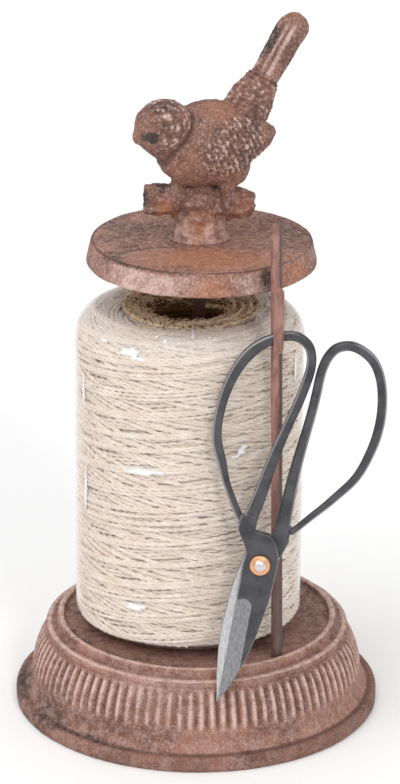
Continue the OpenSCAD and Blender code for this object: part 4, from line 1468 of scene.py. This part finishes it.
def bentNeck(points):
    # both necks lean to the left, and come back sooner in the outer bar
    look = bendLook
    outer = smooth(-points[:, 0], *look["outerAcross"])
    back, end = (a + (b - a) * outer for a, b in zip(look["neckEnd"], look["outerEnd"]))
    bend = look["neckShift"] + look["outerShift"] * outer
    bend *= smooth(points[:, 1], *look["neckUp"]) * (1 - smooth(points[:, 1], back, end))
    return moved(points, -bend)


def scissors():
    points, faces, marks = scissorHalf()
    for name, node, body, spots in (
        ("scissor_front", "scissor_front_half", "scissors", bentFront(points)),
        ("scissor_rear", "scissor_rear_half", "scissors_rear", bentRear(points)),
    ):
        piece = meshPiece(name, onHook(bentNeck(spots)), faces)
        for mark, values in marks.items():
            giveAttribute(piece.data, mark, values)
        piece.data.materials.append(finishes["steel"])
        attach(piece, body)
        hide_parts(node)


rivetLook = {
    "around": 72, "unevenness": 0.25, "roughness": 0.06, "washerRadius": 4.1, "washerHeight": 1.5,
    "headRadius": 2.3, "headHeight": 1.0, "pinRadius": 1.6, "axisGap": 0.02, "play": 0.05,
}


def rivetSet():
    look = rivetLook
    front = cutLook["halfGap"] + cutLook["bladeThickness"]
    wide = look["washerRadius"]
    tall = look["washerHeight"]
    pin = look["pinRadius"]
    bore = pin + look["play"]
    axis = look["axisGap"]
    headWide = look["headRadius"]
    headTall = look["headHeight"]
    washer = [(bore, tall - 0.3)] + straight((pin + 0.5, tall), (wide - 1.6, tall * 0.8), 4)
    washer += arcPoints((wide - 0.9, 0.5), 0.85, 62, -20, 6) + [(wide - 0.5, 0), (bore, 0)]
    head = straight((axis, tall + headTall), (1.0, tall + headTall * 0.97), 3)
    head += straight((1.45, tall + headTall * 0.8), (headWide, tall + 0.25), 4)
    head += [(headWide - 0.1, tall), (pin, tall), (pin, -front - 0.03), (axis, -front - 0.03)]
    for name, side, profile, finish, slot, node in (
        ("washer_front", 1, washer, "copper", "copper", "rivet_front_washer"),
        ("washer_rear", -1, washer, "copper", "copper", "rivet_rear_washer"),
        ("rivet_front", 1, head, "rivet", "rivet_steel", "scissor_rivet"),
        ("rivet_rear", -1, head, "rivet", "rivet_steel", None),
    ):
        piece = turnedPiece(name, profile, look, finishes[finish])
        spots = pointsOf(piece.data) + np.array([0, 0, front])
        if side < 0:
            spots = spots @ turnOver - np.array([0, 0, look["play"]])
        movePoints(piece.data, onHook(spots))
        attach(piece, "scissors")
        if node:
            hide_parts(node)


scissors()
rivetSet()
print("scissors hung")

# Upright, leaning a little to the left, with a turned head
uprightLook = {
    "around": 40, "unevenness": 0.12, "roughness": 0.08, "threadShare": 0.8, "collarDepth": 0.25,
    "leanLow": 1.5, "leanHigh": -1.2, "wideOut": 0.22, "paintedShadeSide": 0.85, "axisGap": 0.02,
}


def leaningUpright():
    look = uprightLook
    low, high = boxOf("hook_upright")
    middle = (low + high) / 2
    wide = (high[0] - low[0]) / 2 + look["wideOut"]
    foot = low[2]
    top = high[2]
    plate = baseLook["plateHeight"]
    neck = wide - look["collarDepth"]
    thread = wide * look["threadShare"]
    axis = look["axisGap"]
    profile = [(axis, top), (wide - 0.9, top - 0.05), (wide - 0.25, top - 0.5), (wide, top - 1.3)]
    profile += [(wide, top - 3), (neck, top - 3.4), (neck, top - 4.2)]
    profile += straight((wide, top - 4.8), (wide, plate), 60)
    profile += [(thread, plate - 0.4), (thread, foot), (axis, foot)]
    piece = turnedPiece("upright", profile, look, finishes["rod"])
    points = pointsOf(piece.data)
    height = points[:, 2]
    # painted shade: the rod's right side above the plate is darkened as if in shadow
    dark = look["paintedShadeSide"] * smooth(points[:, 0] / wide, 0.2, 0.65) * (height > plate)
    writeLayer(piece.data, "soot_and_shade", dark)
    share = np.clip((height - plate) / (top - plate), 0, 1)
    lean = look["leanLow"] + (look["leanHigh"] - look["leanLow"]) * share
    points[:, 0] += middle[0] + lean * smooth(height, foot, plate)
    points[:, 1] += middle[1]
    movePoints(piece.data, points)
    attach(piece, "stand")
    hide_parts("hook_upright")


leaningUpright()

# Rods and fasteners keep their solids and get their finishes
keptFinish = {
    "shadedInnerRod": ("spindle",),
    "rod": ("hook_prong",),
    "zinc": (
        "spindle_foot_washer", "spindle_foot_nut", "spindle_lock_nut", "cap_nut", "cap_washer", "finial_stud",
        "hook_foot_washer", "hook_foot_nut",
    ),
}
for finish, names in keptFinish.items():
    for name in names:
        solid = frame["nodes"][name].data
        solid.materials.clear()
        solid.materials.append(finishes[finish])


# Floor, light and camera
def floorMaterial():
    material, tree, shader, place = newMaterial("white_floor")
    color = tint(cloud(place, 3, 1), tone(252, 252, 252), tone(254, 254, 254))
    connect(shader, color, 0.9, gloss=0.0)
    return material


floorHalf = 6.0
floorMesh = bpy.data.meshes.new("floor")
corners = [(x * floorHalf, y * floorHalf, 0) for x, y in ((-1, -1), (1, -1), (1, 1), (-1, 1))]
floorMesh.from_pydata(corners, [], [(0, 1, 2, 3)])
floorMesh.materials.append(floorMaterial())
floor = bpy.data.objects.new("floor", floorMesh)
scene.collection.objects.link(floor)

light = {
    "sky": 0.76,
    "lamps": (
        # name, strength, softness in degrees, azimuth from the front to the right, height above the horizon
        ("key", 0.88, 50, -42, 52),
        ("fill", 0.55, 10, 21, 34),
    ),
}
world = bpy.data.worlds.new("studio")
world.use_nodes = True
sky = world.node_tree.nodes["Background"]
sky.inputs["Color"].default_value = (1, 1, 1, 1)
sky.inputs["Strength"].default_value = light["sky"]
scene.world = world
for name, strength, softness, azimuth, height in light["lamps"]:
    lamp = bpy.data.lights.new(name, "SUN")
    lamp.energy = strength
    lamp.angle = math.radians(softness)
    holder = bpy.data.objects.new(name, lamp)
    around = math.radians(azimuth)
    rise = math.radians(height)
    towards = Vector((math.sin(around) * math.cos(rise), -math.cos(around) * math.cos(rise), math.sin(rise)))
    holder.rotation_euler = towards.to_track_quat("Z", "Y").to_euler()
    scene.collection.objects.link(holder)

cameraLook = {"place": (0, -1.3, 0.625114), "pitch": 20.769, "roll": 0.43, "lens": 160.0, "shift": 0.00214}
cameraData = bpy.data.cameras.new("camera")
cameraData.lens = cameraLook["lens"]
cameraData.shift_x = cameraLook["shift"]
camera = bpy.data.objects.new("camera", cameraData)
tilt = Matrix.Rotation(math.radians(90 - cameraLook["pitch"]), 4, "X")
roll = Matrix.Rotation(math.radians(cameraLook["roll"]), 4, "Z")
camera.matrix_world = Matrix.Translation(cameraLook["place"]) @ tilt @ roll
scene.collection.objects.link(camera)
scene.camera = camera

print("stage set")
